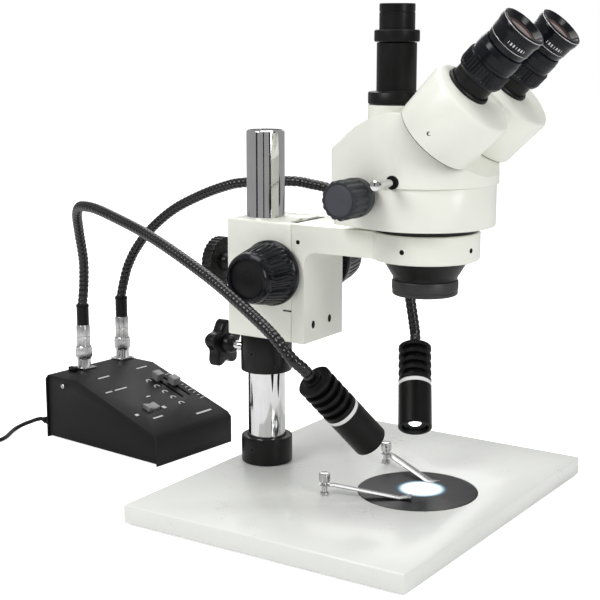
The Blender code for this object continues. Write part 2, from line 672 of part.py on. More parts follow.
place(neck_bore, (0.0, TUBE_Y, 0.0))
cut(upper_body, neck_bore)
bore(upper_body, "selector_bore", 0.0035, (-0.07, SELECTOR_Y, SELECTOR_Z), (-0.03, SELECTOR_Y, SELECTOR_Z), 16)


# ---------------------------------------------------------------- objective
cone_wall = 0.0023
cell_seat = CONE_TOP - CELL_THICKNESS - GAP
cone = turned("objective_cone",
              [(CELL_RADIUS + GAP, CONE_TOP), (CONE_RADIUS, CONE_TOP),
               (CONE_RADIUS, arm_bottom), (CONE_NECK + 0.0012, CONE_BOTTOM + 0.003),
               (CONE_NECK, CONE_BOTTOM), (CONE_NECK - cone_wall, CONE_BOTTOM),
               (CELL_RADIUS - 0.0025, cell_seat), (CELL_RADIUS + GAP, cell_seat)], BLACK_ANODISED)
place(cone, (0.0, OPTIC_Y, 0.0))
cell = turned("objective_cell", [(0.0, CONE_TOP), (CELL_RADIUS, CONE_TOP),
                                 (CELL_RADIUS, CONE_TOP - CELL_THICKNESS),
                                 (0.0, CONE_TOP - CELL_THICKNESS)], BRASS)
place(cell, (0.0, OPTIC_Y, 0.0))
LENS_X = 0.0125
for side, sign in (("left", -1.0), ("right", 1.0)):
    hole = turned(f"cell_hole_{side}", rod_profile(0.009, CONE_TOP - 0.01, CONE_TOP + 0.01, 0.0001),
                  None, SMALL_ROUND, cutters)
    place(hole, (sign * LENS_X, OPTIC_Y, 0.0))
    cut(cell, hole)
barlow = turned("barlow_ring",
                [(BARLOW_RADIUS - 0.0035, BARLOW_HEIGHT), (BARLOW_RADIUS - 0.0012, BARLOW_HEIGHT),
                 (BARLOW_RADIUS, BARLOW_HEIGHT - 0.0015), (BARLOW_RADIUS, 0.0035),
                 (BARLOW_RADIUS - 0.0010, 0.0030), (BARLOW_RADIUS - 0.0010, 0.0),
                 (BARLOW_RADIUS - 0.0035, 0.0)], BLACK_ANODISED)
place(barlow, (0.0, OPTIC_Y, CONE_BOTTOM - GAP - BARLOW_HEIGHT))


# ---------------------------------------------------------------- zoom drive, port selector
zoom_shaft_half = ZOOM_KNOB_END - 0.008
zoom_shaft = turned("zoom_shaft", rod_profile(SHAFT_RADIUS, -zoom_shaft_half, zoom_shaft_half),
                    STEEL, 16)
place(zoom_shaft, (0.0, ZOOM_Y, ZOOM_Z), (0.0, 90.0, 0.0))
for side, sign in (("left", -1.0), ("right", 1.0)):
    r = ZOOM_KNOB_RADIUS
    length = ZOOM_KNOB_LENGTH
    knob = turned(f"zoom_knob_{side}",
                  [(0.0, length), (r - 0.0025, length), (r - 0.0008, length - 0.0012),
                   (r - 0.0003, length - 0.012), (r, length - 0.0125), (r - 0.0004, 0.004),
                   (r - 0.0025, 0.0008), (r - 0.004, 0.0), (SHAFT_RADIUS + GAP, 0.0),
                   (SHAFT_RADIUS + GAP, length - 0.007), (0.0, length - 0.007)],
                  DARK_GREY)
    place(knob, (sign * (ZOOM_KNOB_END - length), ZOOM_Y, ZOOM_Z), (0.0, sign * 90.0, 0.0))

CARRIER_THICKNESS = 0.008
CARRIER_Z = SPIGOT_BOTTOM + 0.0075
carrier = turned("zoom_lens_carrier", rod_profile(spigot_bore - GAP, 0.0, CARRIER_THICKNESS, 0.0003),
                 BRASS)
place(carrier, (0.0, OPTIC_Y, CARRIER_Z))
for side, sign in (("left", -1.0), ("right", 1.0)):
    hole = turned(f"carrier_hole_{side}", rod_profile(0.0085, -0.01, CARRIER_THICKNESS + 0.01, 0.0001),
                  None, SMALL_ROUND, cutters)
    place(hole, (sign * LENS_X, OPTIC_Y, CARRIER_Z))
    cut(carrier, hole)

SELECTOR_ROD = 0.003
selector = turned("port_selector_rod",
                  [(0.0, 0.0), (0.0032, 0.0), (0.0040, -0.0008), (0.0040, -0.0125), (0.0032, -0.0135),
                   (SELECTOR_ROD, -0.0136), (SELECTOR_ROD, -0.046), (0.0, -0.046)], CHROME, 20)
place(selector, (-SELECTOR_END, SELECTOR_Y, SELECTOR_Z), (0.0, -90.0, 0.0))


# ---------------------------------------------------------------- trinocular port
photo_tube = turned("photo_tube",
                    [(port_bore, PORT_TUBE_TOP), (PORT_TUBE_RADIUS - 0.0004, PORT_TUBE_TOP),
                     (PORT_TUBE_RADIUS, PORT_TUBE_TOP - 0.0004),
                     (PORT_TUBE_RADIUS, PORT_NECK_TOP + GAP + PORT_FLANGE_HEIGHT),
                     (PORT_NECK_RADIUS - 0.0008, PORT_NECK_TOP + GAP + PORT_FLANGE_HEIGHT),
                     (PORT_NECK_RADIUS, PORT_NECK_TOP + GAP + PORT_FLANGE_HEIGHT - 0.0008),
                     (PORT_NECK_RADIUS, PORT_NECK_TOP + GAP), (port_bore, PORT_NECK_TOP + GAP)],
                    BLACK_ANODISED)
place(photo_tube, (0.0, TUBE_Y, 0.0))
photo_ring = turned("photo_lock_ring", ring_profile(PORT_RING_RADIUS, port_bore, 0.0,
                                                    PORT_RING_HEIGHT, 0.0006), BLACK_ANODISED)
place(photo_ring, (0.0, TUBE_Y, PORT_TUBE_TOP + GAP))
adapter = turned("photo_adapter_tube", ring_profile(ADAPTER_RADIUS, ADAPTER_RADIUS - 0.0015,
                                                    ADAPTER_BOTTOM, ADAPTER_TOP, 0.0004), BLACK_ANODISED)
place(adapter, (0.0, TUBE_Y, 0.0))


# ---------------------------------------------------------------- prism drums and eyepieces
for side, sign in (("left", -1.0), ("right", 1.0)):
    # the drum frame: origin on the sloping seat, local +Z along the eyepiece
    drum_frame = pivot(f"drum_{side}_axis",
                       (sign * DRUM_HALF_SPACING, drum_seat_y, drum_seat_z),
                       (DRUM_TILT, 0.0, 0.0))
    base_r = DRUM_RADIUS - 0.0015
    seat = GAP * 2.0
    wall = DRUM_WALL
    drum = turned(f"prism_drum_{side}",
                  [(0.0, DRUM_LENGTH), (DRUM_RADIUS - 0.004, DRUM_LENGTH),
                   (DRUM_RADIUS - 0.0012, DRUM_LENGTH - 0.0012), (DRUM_RADIUS, DRUM_LENGTH - 0.004),
                   (base_r, seat), (base_r - wall, seat), (DRUM_RADIUS - wall - 0.001, DRUM_LENGTH - wall - 0.002),
                   (DRUM_RADIUS - wall - 0.003, DRUM_LENGTH - wall), (0.0, DRUM_LENGTH - wall)],
                  WHITE_PAINT, 36)
    place(drum, parent=drum_frame)
    eye_x = -sign * EYE_OFFSET * sin(radians(EYE_REST_TURN))
    eye_y = EYE_OFFSET * cos(radians(EYE_REST_TURN))
    tube_hole = turned(f"eye_hole_{side}", rod_profile(EYE_TUBE_RADIUS + GAP, -0.01, DRUM_LENGTH + 0.01, 0.0001),
                       None, ROUND, cutters)
    tube_hole.location = (eye_x, eye_y, 0.02)
    tube_hole.parent = drum_frame
    cut(drum, tube_hole)

    eye_frame = pivot(f"eyepiece_{side}_axis", (eye_x, eye_y, DRUM_LENGTH), parent=drum_frame)
    tube = turned(f"eyepiece_tube_{side}",
                  ring_profile(EYE_TUBE_RADIUS, EYE_TUBE_RADIUS - EYE_TUBE_WALL, -0.020,
                               EYE_TUBE_OUT, 0.0003), BLACK_ANODISED)
    place(tube, parent=eye_frame)
    diopter_top = DIOPTER_START + DIOPTER_LENGTH
    r = DIOPTER_RADIUS
    diopter = turned(f"diopter_ring_{side}",
                     [(r - 0.0046, diopter_top), (r - 0.0018, diopter_top), (r - 0.0012, diopter_top - 0.001),
                      (r - 0.0012, diopter_top - 0.0035), (r, diopter_top - 0.004),
                      (r, DIOPTER_START + 0.004), (r - 0.0014, DIOPTER_START + 0.001),
                      (r - 0.0018, DIOPTER_START), (EYE_TUBE_RADIUS + GAP, DIOPTER_START),
                      (EYE_TUBE_RADIUS + GAP, EYE_TUBE_OUT + 0.0005), (r - 0.0046, EYE_TUBE_OUT + 0.0005)],
                     BLACK_PLASTIC)
    place(diopter, parent=eye_frame)
    barrel = EYE_TUBE_RADIUS - EYE_TUBE_WALL - 2.0 * GAP
    low = diopter_top + GAP
    top = diopter_top + EYEPIECE_LENGTH + 0.0006
    rim = EYEPIECE_RIM
    eyepiece = turned(f"eyepiece_{side}",
                      [(0.0, top - 0.0045), (rim - 0.0050, top - 0.0040), (rim - 0.0022, top),
                       (rim - 0.0006, top), (rim, top - 0.0008), (rim - 0.0002, top - 0.0042),
                       (rim - 0.0010, top - 0.0052), (rim - 0.0012, top - 0.012), (rim - 0.0024, low + 0.0012),
                       (rim - 0.0024, low), (barrel, low), (barrel, -0.004), (0.0, -0.004)],
                      BLACK_PLASTIC)
    place(eyepiece, parent=eye_frame)


# ---------------------------------------------------------------- lamp box
lamp_box = pivot("lamp_box_corner", (LAMP_BOX_X, LAMP_BOX_Y, FLOOR), (0.0, 0.0, LAMP_BOX_YAW))
W, L = LAMP_BOX_WIDTH, LAMP_BOX_LENGTH
REAR, FRONT, SHELF = LAMP_BOX_REAR, LAMP_BOX_FRONT, LAMP_BOX_SHELF
SLOPE = atan2(REAR - FRONT, L - SHELF)
PANEL_INSET = 0.0018


def box_profile(inset, bottom, corner):
    """Side view of the lamp box, moved inward: rear wall, shelf, slope and front wall."""
    half = tan(SLOPE / 2.0)
    return [(L - inset, bottom), (L - inset, REAR - inset - corner), (L - inset - corner, REAR - inset),
            (L - SHELF + inset * half, REAR - inset),
            (inset + corner, FRONT - inset / cos(SLOPE) + corner * tan(SLOPE)),
            (inset, FRONT - inset / cos(SLOPE) - corner * 0.7), (inset, bottom)]


def across(made, first, second):
    """Carries a side view outline across the box, from one side distance to the other."""
    for vertex in made.data.vertices:
        x = (first + second) / 2.0 + vertex.co.z
        vertex.co = Vector((x, vertex.co.x, vertex.co.y))
    return place(made, parent=lamp_box)


outer = box_profile(0.0, 0.0, 0.004)
inner = box_profile(SHEET, 0.0, 0.0035)
cover = across(outline("lamp_box_cover", outer + list(reversed(inner)), W, BLACK_PAINT), 0.0, W)

tray_profile = box_profile(SHEET + GAP, 0.0015, 0.0035)
tray = across(outline("lamp_box_tray", tray_profile, W - 2.0 * PANEL_INSET, BLACK_PAINT),
              PANEL_INSET, W - PANEL_INSET)
tray_inside = across(outline("tray_hollow", [(L + 0.01, 0.0030), (L + 0.01, REAR + 0.01),
                                             (-0.01, REAR + 0.01), (-0.01, 0.0030)],
                             W - 2.0 * (PANEL_INSET + SHEET), None, cutters),
                     PANEL_INSET + SHEET, W - PANEL_INSET - SHEET)
cut(tray, tray_inside)

SLIDER_SPOTS = ((0.0775, 0.0765), (0.0870, 0.0640))    # across the box, up from the front edge
SLOT_TOP = 0.080
for number, (across_box, along) in enumerate(SLIDER_SPOTS, start=1):
    slope_frame = pivot(f"slider_{number}_axis", (across_box, along, FRONT + along * tan(SLOPE)),
                        (SLOPE * 180.0 / pi, 0.0, 0.0), lamp_box)
    slot_high = (SLOT_TOP - along) / cos(SLOPE)
    slot = box(f"slider_slot_{number}", (-SLIDER_SLOT / 2, slot_high - SLIDER_TRAVEL - 0.010, -0.006),
               (SLIDER_SLOT / 2, slot_high + 0.003, 0.006), None, 0.0, cutters)
    place(slot, parent=slope_frame)
    cut(cover, slot)
    slider = box(f"brightness_slider_{number}", (-0.0045, -0.0045, GAP), (0.0045, 0.0045, 0.008),
                 GREY_PLASTIC)
    place(slider, parent=slope_frame)
    stem = box(f"slider_stem_{number}", (-0.0009, -0.002, -0.005), (0.0009, 0.002, 0.001),
               None, 0.0, cutters)
    place(stem, parent=slope_frame)
    join(slider, stem)

SWITCH_ACROSS, SWITCH_ALONG = 0.033, 0.040
switch_frame = pivot("switch_axis", (SWITCH_ACROSS, SWITCH_ALONG, FRONT + SWITCH_ALONG * tan(SLOPE)),
                     (SLOPE * 180.0 / pi, 0.0, 0.0), lamp_box)
switch_hole = box("switch_hole", (-0.0078, -0.0055, -0.01), (0.0078, 0.0055, 0.01), None, 0.0, cutters)
place(switch_hole, parent=switch_frame)
cut(cover, switch_hole)
rocker = outline("power_switch", [(-0.0070, -0.0036), (0.0070, -0.0036), (0.0070, 0.0024),
                                  (0.0015, 0.0012), (-0.0070, 0.0034)], 0.0096, BLACK_PLASTIC)
for vertex in rocker.data.vertices:
    vertex.co = Vector((vertex.co.x, vertex.co.z, vertex.co.y))
for polygon in rocker.data.polygons:
    polygon.flip()
place(rocker, parent=switch_frame)

socket_y = L - SOCKET_FROM_REAR - 0.001


def socket_x(number):
    return SOCKET_FIRST + SOCKET_SPACING * (number - 1)


SOCKET_HALF = 0.0083
SOCKET_HEIGHT = 0.010
for number in (1, 2):
    socket = box(f"lamp_socket_{number}", (-SOCKET_HALF, -SOCKET_HALF, 0.0),
                 (SOCKET_HALF, SOCKET_HALF, 0.0016), CHROME)
    place(socket, (socket_x(number), socket_y, REAR + GAP), parent=lamp_box)
    barrel = turned(f"socket_barrel_{number}", rod_profile(0.0066, 0.0004, SOCKET_HEIGHT, 0.0004),
                    None, SMALL_ROUND, cutters)
    place(barrel, (socket_x(number), socket_y, REAR + GAP), parent=lamp_box)
    join(socket, barrel)
    r = PLUG_RADIUS
    plug = turned(f"lamp_plug_{number}",
                  [(0.0, PLUG_HEIGHT), (r - 0.0006, PLUG_HEIGHT), (r, PLUG_HEIGHT - 0.0008),
                   (r, 0.0125), (r + 0.0010, 0.0115), (r + 0.0014, 0.008), (r + 0.0014, 0.0025),
                   (r + 0.0008, 0.0015), (r + 0.0002, 0.0), (0.0, 0.0)], CHROME, SMALL_ROUND)
    place(plug, (socket_x(number), socket_y, REAR + SOCKET_HEIGHT + 2.0 * GAP), parent=lamp_box)


# ---------------------------------------------------------------- goosenecks and lamp heads
def on_box(across_box, along, height):
    """A place on the lamp box, in world metres."""
    turn = Matrix.Rotation(radians(LAMP_BOX_YAW), 4, "Z")
    return Vector((LAMP_BOX_X, LAMP_BOX_Y, FLOOR)) + turn @ Vector((across_box, along, height))


# each arm as it is bent: points between its plug and its lamp head
ROUTES = {
    1: [(0.0235, 0.3290, 0.1420), (0.0200, 0.3250, 0.1670), (0.0090, 0.3190, 0.1958),
        (-0.0045, 0.3085, 0.2152), (-0.0140, 0.2965, 0.2246), (-0.0200, 0.2830, 0.2270),
        (-0.0255, 0.2650, 0.2264), (-0.0325, 0.2378, 0.2218), (-0.0440, 0.1968, 0.2138),
        (-0.0575, 0.1560, 0.2040), (-0.0745, 0.1050, 0.1893), (-0.0880, 0.0680, 0.1770),
        (-0.0990, 0.0350, 0.1635), (-0.1050, 0.0160, 0.1540), (-0.1050, 0.0010, 0.1400)],
    2: [(0.0755, 0.3232, 0.1400), (0.0765, 0.3180, 0.1560), (0.0775, 0.3077, 0.1738),
        (0.0780, 0.2893, 0.1940), (0.0787, 0.2620, 0.2146), (0.0790, 0.2312, 0.2297),
        (0.0780, 0.2002, 0.2410), (0.0785, 0.1768, 0.2462), (0.0820, 0.1280, 0.2500),
        (0.0870, 0.1095, 0.2480), (0.0905, 0.0900, 0.2440), (0.0945, 0.0560, 0.2310),
        (0.0960, 0.0290, 0.2090), (0.0950, 0.0160, 0.1850), (0.0895, 0.0080, 0.1560)],
}
LAMP_BACK = {1: (-0.092, -0.008, 0.124), 2: (0.078, -0.004, 0.117)}
LAMP_AIM = {1: (-0.042, -0.031, 0.065), 2: (0.031, -0.031, 0.057)}
FERRULE = 0.020
NECK = 0.006
for number in (1, 2):
    start = on_box(socket_x(number), socket_y, REAR + SOCKET_HEIGHT + PLUG_HEIGHT + 3.0 * GAP)
    back = Vector(LAMP_BACK[number])
    forward = (Vector(LAMP_AIM[number]) - back).normalized()
    neck_end = back - forward * GAP
    ferrule_top = start + Vector((0.0, 0.0, FERRULE))
    points = through([ferrule_top, *ROUTES[number], neck_end - forward * 0.012, neck_end], 0.012)
    ferrule_radius = 0.0059
    path = [start, start + Vector((0.0, 0.0, FERRULE - 0.002))] + points
    radii = [ferrule_radius, ferrule_radius] + [GOOSENECK_RADIUS] * len(points)
    bent_tube(f"gooseneck_{number}", path, radii, BLACK_PLASTIC)

    r = LAMP_RADIUS
    fins = []
    for fin in range(5):
        top_z = LAMP_LENGTH - 0.003 - fin * 0.0078
        fins += [(r - 0.0004, top_z), (r - 0.0002, top_z - 0.0044),
                 (r - 0.0040, top_z - 0.0048), (r - 0.0040, top_z - 0.0074)]
    lamp = turned(f"lamp_head_{number}",
                  [(0.0, LAMP_LENGTH), (0.0060, LAMP_LENGTH), (0.0095, LAMP_LENGTH - 0.0010)] + fins
                  + [(r, 0.0375), (r, 0.0335), (r - 0.0008, 0.0330), (r - 0.0008, 0.0006),
                     (r - 0.0014, 0.0), (r - 0.0028, 0.0), (r - 0.0036, 0.0050), (0.0, 0.0055)],
                  BLACK_ANODISED, 20)
    place(lamp, back + forward * LAMP_LENGTH, aim(-forward))


# ---------------------------------------------------------------- power cord
CORD_EXIT_ACROSS, CORD_EXIT_HEIGHT, RELIEF_LENGTH = 0.014, 0.010, 0.021
relief = turned("cord_relief", [(0.0, RELIEF_LENGTH), (0.0030, RELIEF_LENGTH), (0.0045, 0.004),
                                (0.0060, 0.0035), (0.0060, 0.0), (0.0, 0.0)], RUBBER, SMALL_ROUND)
place(relief, (CORD_EXIT_ACROSS, L + GAP, CORD_EXIT_HEIGHT), (-90.0, 0.0, 0.0), lamp_box)

relief_tip = on_box(CORD_EXIT_ACROSS, L + RELIEF_LENGTH + 2.0 * GAP, CORD_EXIT_HEIGHT)
out_of_box = (on_box(0.0, 1.0, 0.0) - on_box(0.0, 0.0, 0.0)).normalized()
lie = FLOOR + CORD_RADIUS + GAP
CORD_ROUTE = [(0.0004, 0.3760, 0.0068), (-0.0026, 0.3810, 0.0046), (-0.0080, 0.3846, 0.0028),
              (-0.0150, 0.3856, 0.0015), (-0.0230, 0.3838, lie), (-0.0320, 0.3792, lie),
              (-0.0420, 0.3738, lie), (-0.0525, 0.3706, lie), (-0.0630, 0.3716, lie),
              (-0.0705, 0.3775, lie)]
coil_outer = COIL_MID_RADIUS + COIL_HALF_WIDTH
join_angle = 20.0
coil_x, coil_y = COIL_CENTRE
cord_end = (coil_x + (coil_outer + CORD_RADIUS + GAP) * cos(radians(join_angle)),
            coil_y + (coil_outer + CORD_RADIUS + GAP) * sin(radians(join_angle)), lie)
straight_out = relief_tip + out_of_box * 0.004
cord_points = [relief_tip] + through([straight_out, *CORD_ROUTE, cord_end], 0.0075)
bent_tube("power_cord", cord_points, [CORD_RADIUS] * len(cord_points), BLACK_PLASTIC)

coil_low = lie - CORD_RADIUS
coil = turned("cord_coil", ring_profile(coil_outer, COIL_MID_RADIUS - COIL_HALF_WIDTH, 0.0,
                                        COIL_HEIGHT, 0.0015), BLACK_PLASTIC)
place(coil, (coil_x, coil_y, coil_low))

# moulded two-pin plug lying beside the coil, one corner against it
PLUG_HALF = 0.0085
PLUG_BODY = 0.026
PLUG_BOOT = 0.020
PLUG_HEIGHT_LAID = 0.014
plug_end_y = coil_y - 0.014
plug_x = coil_x - (coil_outer ** 2 - (coil_y - plug_end_y) ** 2) ** 0.5 - PLUG_HALF - GAP
plug = box("cord_plug", (plug_x - PLUG_HALF, plug_end_y - PLUG_BODY, coil_low),
           (plug_x + PLUG_HALF, plug_end_y, coil_low + PLUG_HEIGHT_LAID), BLACK_PLASTIC, 0.0015)
boot = turned("plug_boot", [(0.0, PLUG_BOOT), (0.0034, PLUG_BOOT), (0.0052, 0.0), (0.0, -0.001)],
              None, SMALL_ROUND, cutters)
place(boot, (plug_x, plug_end_y - 0.0005, coil_low + PLUG_HEIGHT_LAID / 2.0), (-90.0, 0.0, 0.0))
join(plug, boot)
for side, sign in (("near", -1.0), ("far", 1.0)):
    blade = box(f"plug_blade_{side}",
                (plug_x + sign * 0.0064 - 0.0008, plug_end_y - PLUG_BODY - 0.016, coil_low + 0.0040),
                (plug_x + sign * 0.0064 + 0.0008, plug_end_y - PLUG_BODY + 0.001, coil_low + 0.0100),
                None, 0.0, cutters)
    join(plug, blade)
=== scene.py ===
import json
from math import atan2, cos, pi, radians, sin

import bmesh
import bpy
from mathutils import Matrix, Vector

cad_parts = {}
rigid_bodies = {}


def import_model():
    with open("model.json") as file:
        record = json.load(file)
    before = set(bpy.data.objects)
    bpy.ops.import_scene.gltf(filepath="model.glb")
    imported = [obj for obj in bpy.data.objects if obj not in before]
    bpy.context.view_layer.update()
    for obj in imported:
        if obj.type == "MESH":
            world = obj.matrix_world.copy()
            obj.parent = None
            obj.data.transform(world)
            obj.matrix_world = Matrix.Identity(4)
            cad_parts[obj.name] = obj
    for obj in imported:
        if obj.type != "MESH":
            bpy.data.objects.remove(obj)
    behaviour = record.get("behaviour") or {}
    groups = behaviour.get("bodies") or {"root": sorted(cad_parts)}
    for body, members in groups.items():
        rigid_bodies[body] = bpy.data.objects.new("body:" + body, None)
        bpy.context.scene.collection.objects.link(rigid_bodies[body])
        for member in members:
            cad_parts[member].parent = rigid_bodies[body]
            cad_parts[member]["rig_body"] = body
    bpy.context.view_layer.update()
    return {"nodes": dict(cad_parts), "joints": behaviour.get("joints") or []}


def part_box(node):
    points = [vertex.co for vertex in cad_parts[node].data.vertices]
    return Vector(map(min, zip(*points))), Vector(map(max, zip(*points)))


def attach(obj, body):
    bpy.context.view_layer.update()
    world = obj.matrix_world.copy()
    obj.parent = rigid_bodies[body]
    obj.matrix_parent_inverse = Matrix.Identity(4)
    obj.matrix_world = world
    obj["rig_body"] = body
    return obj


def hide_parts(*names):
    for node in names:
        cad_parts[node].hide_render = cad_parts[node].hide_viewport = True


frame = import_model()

nodes = frame["nodes"]
joints = {joint["name"]: joint for joint in frame["joints"]}


# ---------------------------------------------------------------- camera
# A long lens at bench height, looking across the front left corner of the base.
camera_data = bpy.data.cameras.new("view_camera")
camera_data.sensor_width = 36.0
camera_data.lens = 80.16
camera_data.clip_start = 0.01
camera = bpy.data.objects.new("view_camera", camera_data)
bpy.context.scene.collection.objects.link(camera)
camera_back = Vector((-0.8176, -0.5420, 0.1944)).normalized()
camera_right = Vector((0.5525, -0.8335, 0.0)).normalized()
camera_turn = Matrix((camera_right, camera_back.cross(camera_right), camera_back)).transposed()
camera.matrix_world = Matrix.Translation((-0.9156, -0.5434, 0.3790)) @ camera_turn.to_4x4()
bpy.context.scene.camera = camera


# ---------------------------------------------------------------- floor and studio light
# A pale seamless sheet under four broad soft lamps, with black flags beside them that give
# polished metal its dark lines.
def link_mesh(name, bm):
    mesh = bpy.data.meshes.new(name)
    bm.to_mesh(mesh)
    bm.free()
    made = bpy.data.objects.new(name, mesh)
    bpy.context.scene.collection.objects.link(made)
    return made


FLOOR_Z, FLOOR_REACH = -0.0016, 6.0
# the sheet and the room are white to the camera, and dimmer where something mirrors them
SHEET_GLOW, ROOM_LEVEL = 0.80, 0.40
floor_bm = bmesh.new()
bmesh.ops.create_grid(floor_bm, x_segments=1, y_segments=1, size=FLOOR_REACH)
bmesh.ops.translate(floor_bm, verts=floor_bm.verts, vec=(0.0, 0.0, FLOOR_Z))
floor = link_mesh("floor", floor_bm)
pale_sheet = bpy.data.materials.new("pale_sheet")
pale_sheet.use_nodes = True
sheet_shader = pale_sheet.node_tree.nodes["Principled BSDF"]
sheet_shader.inputs["Base Color"].default_value = (0.86, 0.86, 0.86, 1.0)
sheet_shader.inputs["Roughness"].default_value = 0.9
sheet_shader.inputs["Emission Color"].default_value = (1.0, 1.0, 1.0, 1.0)
sheet_light = pale_sheet.node_tree.nodes.new("ShaderNodeLightPath")
sheet_glow = pale_sheet.node_tree.nodes.new("ShaderNodeMath")
sheet_glow.operation = "MULTIPLY"
sheet_glow.inputs[1].default_value = SHEET_GLOW
pale_sheet.node_tree.links.new(sheet_light.outputs["Is Camera Ray"], sheet_glow.inputs[0])
pale_sheet.node_tree.links.new(sheet_glow.outputs["Value"], sheet_shader.inputs["Emission Strength"])
floor.data.materials.append(pale_sheet)

world = bpy.data.worlds.new("studio")
world.use_nodes = True
sky = world.node_tree.nodes["Background"]
sky.inputs["Color"].default_value = (1.0, 1.0, 1.0, 1.0)
sky_light = world.node_tree.nodes.new("ShaderNodeLightPath")
sky_level = world.node_tree.nodes.new("ShaderNodeMapRange")
sky_level.inputs["To Min"].default_value = ROOM_LEVEL
sky_level.inputs["To Max"].default_value = 1.0
world.node_tree.links.new(sky_light.outputs["Is Camera Ray"], sky_level.inputs["Value"])
world.node_tree.links.new(sky_level.outputs["Result"], sky.inputs["Strength"])
bpy.context.scene.world = world
bpy.context.scene.view_settings.view_transform = "Standard"

MIDDLE = (0.0, 0.05, 0.18)


def soft_lamp(name, place, width, height, watts):
    data = bpy.data.lights.new(name, "AREA")
    data.shape = "RECTANGLE"
    data.size = width
    data.size_y = height
    data.energy = watts
    lamp = bpy.data.objects.new(name, data)
    bpy.context.scene.collection.objects.link(lamp)
    turn = (Vector(place) - Vector(MIDDLE)).to_track_quat("Z", "Y").to_matrix().to_4x4()
    lamp.matrix_world = Matrix.Translation(place) @ turn


soft_lamp("key_lamp", (-1.2, 0.5, 1.2), 0.7, 0.7, 13.0)
soft_lamp("fill_lamp", (-0.5, -1.7, 0.9), 0.5, 1.1, 13.0)
soft_lamp("top_lamp", (0.2, 0.1, 1.6), 0.9, 0.9, 11.0)
soft_lamp("back_lamp", (1.3, 0.9, 1.2), 0.9, 0.9, 6.0)

# the flags stand on the floor, out of the camera's sight
flag_cloth = bpy.data.materials.new("flag_cloth")
flag_cloth.use_nodes = True
flag_cloth.node_tree.nodes["Principled BSDF"].inputs["Base Color"].default_value = (0.01, 0.01, 0.01, 1.0)
FLAG_HALF = 0.9
FLAGS = (((-2.2, 0.9), (0.03, 0.22)), ((-1.2, -2.1), (0.26, 0.03)), ((-2.6, -1.0), (0.05, 0.16)))
for number, ((x, y), (half_x, half_y)) in enumerate(FLAGS, start=1):
    flag_bm = bmesh.new()
    bmesh.ops.create_cube(flag_bm, size=2.0)
    bmesh.ops.scale(flag_bm, vec=(half_x, half_y, FLAG_HALF), verts=flag_bm.verts)
    bmesh.ops.translate(flag_bm, verts=flag_bm.verts, vec=(x, y, FLAG_HALF))
    flag = link_mesh(f"flag_{number}", flag_bm)
    flag.data.materials.append(flag_cloth)
    flag.visible_camera = False


# ---------------------------------------------------------------- power cord
# Round black PVC mains lead with a tapered rubber relief at the lamp box, put away in a coil
# that a cloth strap holds, and a moulded two-pin plug.
def grain_group():
    """Fine grain and broad unevenness that every finish shares, each with its own values."""
    group = bpy.data.node_groups.new("surface_grain", "ShaderNodeTree")
    for label, kind, value in (("Dark", "NodeSocketColor", None), ("Light", "NodeSocketColor", None),
                               ("Scale", "NodeSocketFloat", 2000.0), ("Smooth", "NodeSocketFloat", 0.3),
                               ("Dull", "NodeSocketFloat", 0.4), ("Stretch", "NodeSocketVector", None),
                               ("Fine", "NodeSocketFloat", 0.3)):
        socket = group.interface.new_socket(label, in_out="INPUT", socket_type=kind)
        if value is not None:
            socket.default_value = value
    for label, kind in (("Color", "NodeSocketColor"), ("Roughness", "NodeSocketFloat"),
                        ("Height", "NodeSocketFloat")):
        group.interface.new_socket(label, in_out="OUTPUT", socket_type=kind)
    make, link = group.nodes.new, group.links.new
    given, sent = make("NodeGroupInput"), make("NodeGroupOutput")
    place_on = make("ShaderNodeTexCoord")
    stretched = make("ShaderNodeVectorMath")
    stretched.operation = "MULTIPLY"
    link(place_on.outputs["Object"], stretched.inputs[0])
    link(given.outputs["Stretch"], stretched.inputs[1])
    fine = make("ShaderNodeTexNoise")
    fine.inputs["Detail"].default_value = 4.0
    link(stretched.outputs["Vector"], fine.inputs["Vector"])
    link(given.outputs["Scale"], fine.inputs["Scale"])
    broad = make("ShaderNodeTexNoise")
    broad.inputs["Scale"].default_value = 42.0
    broad.inputs["Detail"].default_value = 3.0
    link(place_on.outputs["Object"], broad.inputs["Vector"])
    blend = make("ShaderNodeMix")
    blend.data_type = "FLOAT"
    link(given.outputs["Fine"], blend.inputs["Factor"])
    link(broad.outputs["Fac"], blend.inputs["A"])
    link(fine.outputs["Fac"], blend.inputs["B"])
    spread = make("ShaderNodeMapRange")
    spread.inputs["From Min"].default_value = 0.3
    spread.inputs["From Max"].default_value = 0.7
    link(blend.outputs["Result"], spread.inputs["Value"])
    tint = make("ShaderNodeMix")
    tint.data_type = "RGBA"
    link(spread.outputs["Result"], tint.inputs["Factor"])
    link(given.outputs["Dark"], tint.inputs["A"])
    link(given.outputs["Light"], tint.inputs["B"])
    gloss = make("ShaderNodeMapRange")
    link(spread.outputs["Result"], gloss.inputs["Value"])
    link(given.outputs["Smooth"], gloss.inputs["To Min"])
    link(given.outputs["Dull"], gloss.inputs["To Max"])
    link(tint.outputs["Result"], sent.inputs["Color"])
    link(gloss.outputs["Result"], sent.inputs["Roughness"])
    link(fine.outputs["Fac"], sent.inputs["Height"])
    return group


GRAIN = grain_group()


